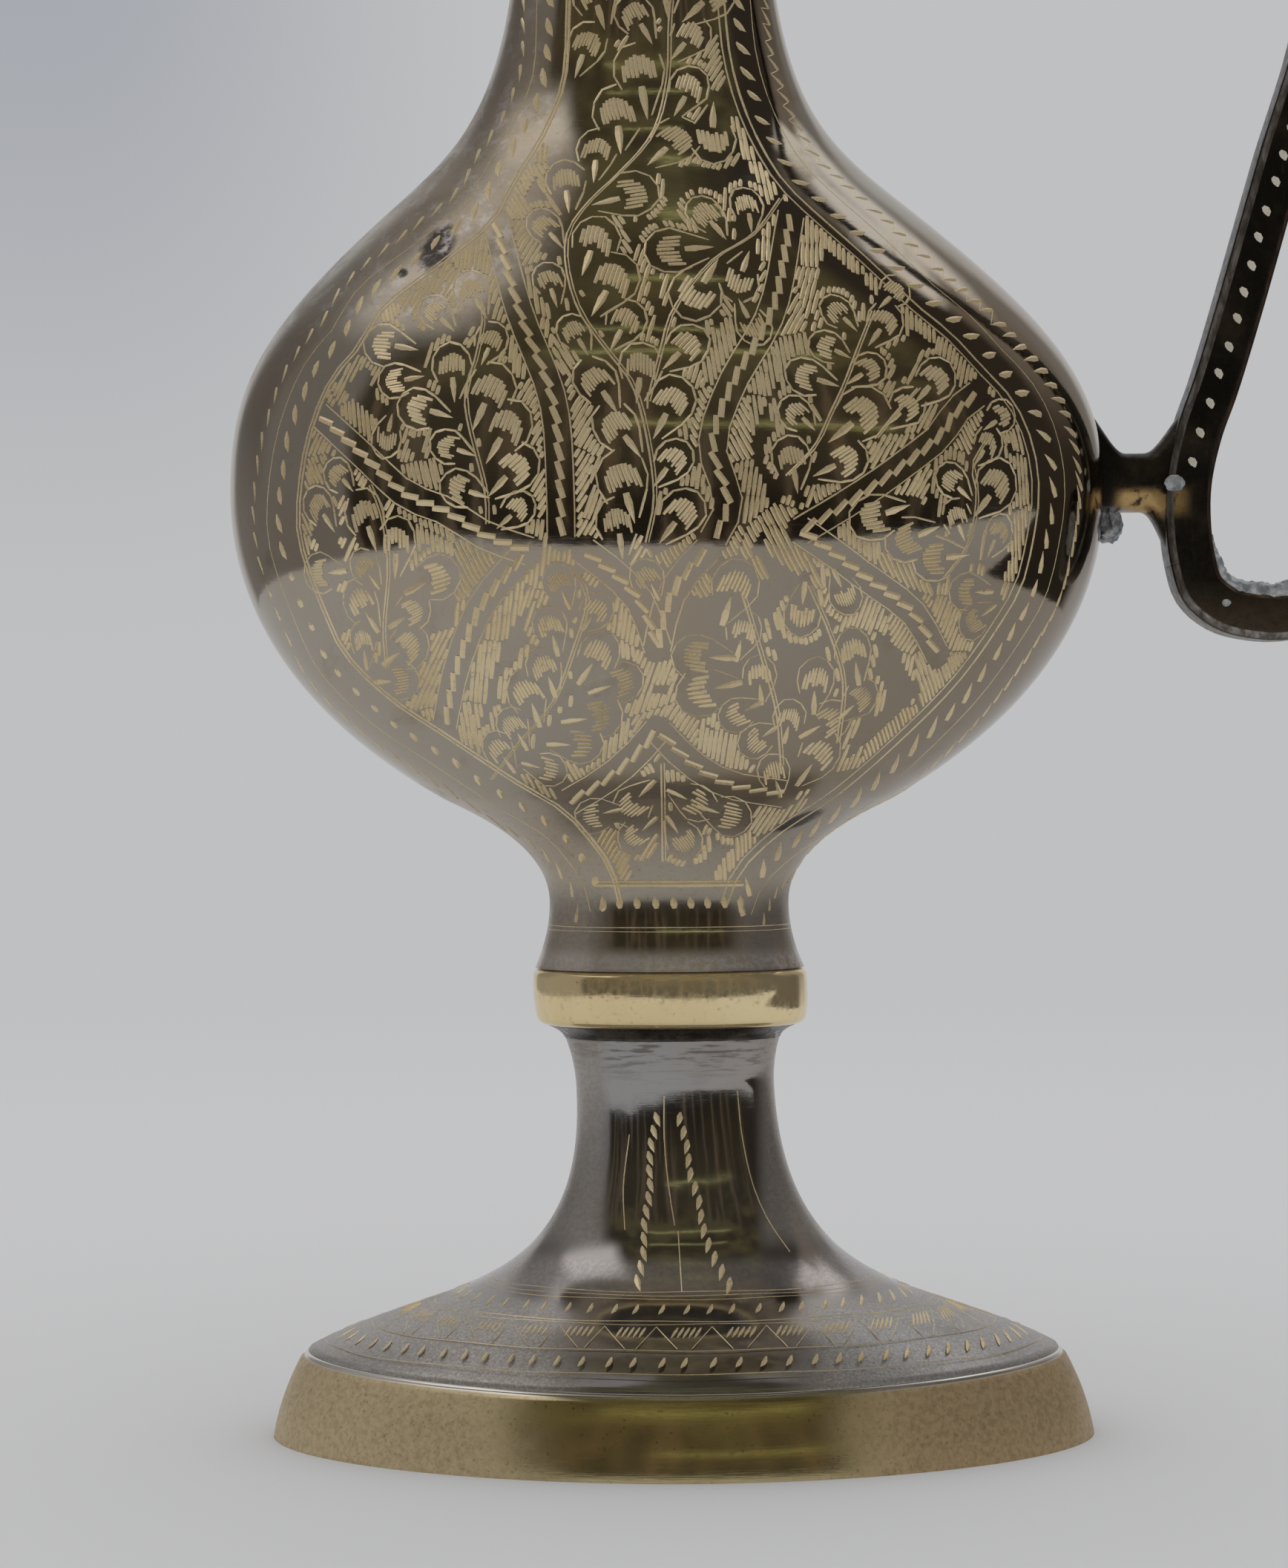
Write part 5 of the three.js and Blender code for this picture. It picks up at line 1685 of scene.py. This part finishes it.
def strap_piece(name, line, sections, node):
    """A swept length of the strap, with chamfers towards the belly painted pale as a highlight and reddish
    ones away from it.
    """
    points, faces = capped(sweep(line, sections))
    piece = make_piece(name, points, faces, material=BRONZE, slot="dark_bronze", node=node, sharp=40)
    for material in (PAINTED_HIGHLIGHT_BRONZE, RED_BRONZE):
        piece.data.materials.append(material)
    columns = sections.shape[-2]
    for i in range((len(line) - 1) * columns):
        side = (i % columns + 1) // (columns // 8)
        piece.data.polygons[i].material_index = {4: 1, 6: 1, 2: 2, 8: 2}.get(side, 0)
    return piece


def make_handle():
    """The strap from its curled tail to the pad, with a row of punched cuts on both faces."""
    line = handle_line()
    pad_x, _ = pad_place()
    meets = next(i for i, (x, z) in enumerate(line) if z >= STRUT_Z - TAIL_DROP and x < STRAP_X + STRAP[0])
    full = strap_section(STRAP[0] / 2, STRAP[1] / 2, STRAP_CHAMFER)
    tail = line[:meets + 1]
    run = np.arange(len(tail)) * 0.8
    size = np.interp(run, [0, TAIL_TAPER], [TAIL_TIP_SIZE, 1])
    strap_piece("handle_tail_curl", tail, full[None] * size[:, None, None], "handle_tail")
    grip = line[meets:]
    keep = grip[:, 0] > pad_x - 1.2
    keep[: len(grip) // 2] = True
    grip = grip[keep]
    strap_piece("handle_grip_strap", grip, np.tile(full[None], (len(grip), 1, 1)), "handle_grip")

    chart = StrapChart(grip)
    strokes = Strokes(chart, 5)
    at = TAIL_DROP + 1.5
    while at < chart.run[-1] - 6:
        side = PECK_SIDE + strokes.random.uniform(-0.12, 0.12)
        strokes.add((side - 0.42, at + 0.4), (side + 0.42, at - 0.45), (0.45, 0.95, 0.9, 0.25), 0.12)
        at += PECK_STEP * strokes.random.uniform(0.9, 1.06)
    engraved("handle_{}_pecks", strokes, PECK_METAL)


STRUT_TOP = 3.3
STRUT_BOTTOM = 3.3
STRUT_FILLETS = {"belly": (4.6, 3.6), "strap": (4.2, 4.0)}
FILLET_SHARE = 0.38
FILLET_CURVE = 2.2
STRUT_POWER = 2.6


def strap_inner_edge():
    """The strap's edge towards the belly, as heights and distances from the axis."""
    line = handle_line()
    edge = line - normals(line) * STRAP[0] / 2
    lowest = int(np.argmin(edge[:len(edge) // 3, 1]))
    rising = edge[lowest:lowest + len(edge) // 2]
    keep = np.concatenate([[True], np.diff(np.maximum.accumulate(rising[:, 1])) > 1e-6])
    return rising[keep, 1], rising[keep, 0]


def make_strut():
    """A web between belly and strap that spreads along both, above and below."""
    edge_z, edge_x = strap_inner_edge()
    a = full_turn(96)
    c, s = np.cos(a), np.sin(a)
    grid = []
    for u in np.linspace(-0.1, 1.1, 64):
        at_belly = min(1.15, max(0.0, 1 - u / FILLET_SHARE)) ** FILLET_CURVE
        at_strap = min(1.15, max(0.0, (u - 1) / FILLET_SHARE + 1)) ** FILLET_CURVE
        up = STRUT_TOP + STRUT_FILLETS["belly"][0] * at_belly + STRUT_FILLETS["strap"][0] * at_strap
        down = STRUT_BOTTOM + STRUT_FILLETS["belly"][1] * at_belly + STRUT_FILLETS["strap"][1] * at_strap
        z = STRUT_Z + np.where(s > 0, up, down) * np.sign(s) * np.abs(s) ** (2 / STRUT_POWER)
        y = np.sign(c) * STRUT_HALF[1] * np.abs(c) ** (2 / STRUT_POWER)
        belly_x, _ = body_profile(z)
        strap_x = np.interp(z, edge_z, edge_x)
        grid.append(np.stack([belly_x + (strap_x - belly_x) * u, y, z], axis=1))
    points, faces = capped(np.array(grid))
    make_piece("handle_strut_arm", points, faces, material=BRONZE, slot="dark_bronze",
               node="handle_strut", sharp=50)


# Solder, with an uneven crystalline skin

def lump(points, size, reach, seed):
    """Points pushed out and in by a seeded noise, in millimetres."""
    noise.seed_set(seed)
    shift = Vector((seed * 7.1, seed * 3.3, seed * 5.7))
    out = np.array(points, float)
    flat = out.reshape(-1, 3)
    for p in flat:
        p += np.array(noise.noise_vector(Vector(p) / size + shift)) * reach
        p += np.array(noise.noise_vector(Vector(p) / (size * 0.35) + shift)) * reach * 0.45
    return flat.reshape(out.shape)


def bead(centre, radii, seed):
    """A small lumpy drop."""
    rows, columns = 18, 28
    grid = []
    for polar in np.linspace(0.08, math.pi - 0.08, rows):
        a = full_turn(columns)
        grid.append(np.stack([np.cos(a) * math.sin(polar), np.full(columns, -math.cos(polar)),
                              np.sin(a) * math.sin(polar)], axis=1))
    grid = np.array(centre) + np.array(grid) * np.array(radii)
    return capped(lump(grid, 0.8, max(radii) * 0.16, seed))


def on_strap_face(pixel):
    """A pixel's place on the plane of the strap's front face."""
    right, up = seen(pixel)
    far = (CAMERA_DISTANCE - STRAP[1] / 2) / FOCAL_PX
    z = CAMERA_HEIGHT + up * far
    return np.array([right * far - CAMERA_LEFT_OF_FOOT - lean_at(z), -STRAP[1] / 2, z])


def solder_piece(name, shape, material, node=None):
    points, faces = shape
    make_piece(name, points, faces, material=material, slot="solder", node=node, sharp=60)


def tail_ridge():
    """A ragged ridge along the tail's inner corner."""
    line = handle_line()
    corner = line[:next(i for i, (x, z) in enumerate(line) if z >= STRUT_Z - 1 and x < STRAP_X + STRAP[0])]
    first, last = (int(len(corner) * share) for share in RIDGE_PART)
    ridge = resampled(corner[first:last], 0.3)
    turns = full_turn(28)
    fade = np.sin(np.linspace(0.12, math.pi - 0.12, len(ridge))) ** 0.35
    section = np.stack([np.cos(turns) * RIDGE_HALF[0] + STRAP[0] / 2 - 0.1,
                        np.sin(turns) * RIDGE_HALF[1]], axis=1)
    start = np.array([STRAP[0] / 2 - 0.6, 0.0])
    grid = sweep(ridge, start + (section[None] - start) * fade[:, None, None])
    return capped(lump(grid, 1.1, 0.42, 1))


def strut_wedge():
    """A lump in the box of the strut's solder."""
    low_corner, high_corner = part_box("strut_solder")
    middle = np.array((low_corner + high_corner) / 2) / MM
    middle[0] -= FOOT_X + lean_at(middle[2])
    half = np.array((high_corner - low_corner) / 2) / MM
    return bead(middle + np.array([-0.3, 0, 0.3]), half * np.array([1.0, 1.25, 0.8]), 2)


def make_solder():
    solder_piece("tail_solder_ridge", tail_ridge(), BRIGHT_SOLDER, "tail_solder")
    solder_piece("strut_solder_lump", strut_wedge(), SOLDER, "strut_solder")
    for name, pixel, size in (("solder_spot", SPOT_PIXEL, 1.15), ("solder_speck", SPECK_PIXEL, 0.5)):
        drop = bead(on_strap_face(pixel), (size, 0.22, size * 0.85), 3)
        solder_piece(name, drop, BRIGHT_SOLDER)


def dress_rest():
    """CAD nodes that keep their own shape get a worked metal."""
    finishes = {
        "joint_ferrule": (BRASS, "bare_brass"), "vessel_floor": (BRASS, "bare_brass"),
        "handle_top_pad": (BRONZE, "dark_bronze"),
    }
    for name, (material, slot) in finishes.items():
        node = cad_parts[name]
        node.data.materials.clear()
        node.data.materials.append(material)


def main():
    bpy.context.scene.view_settings.view_transform = "Standard"
    make_world()
    make_floor()
    make_camera()
    make_foot()
    make_collar()
    make_collar_solder()
    make_body()
    make_engraving()
    make_mouth()
    make_handle()
    make_strut()
    make_solder()
    dress_rest()


main()
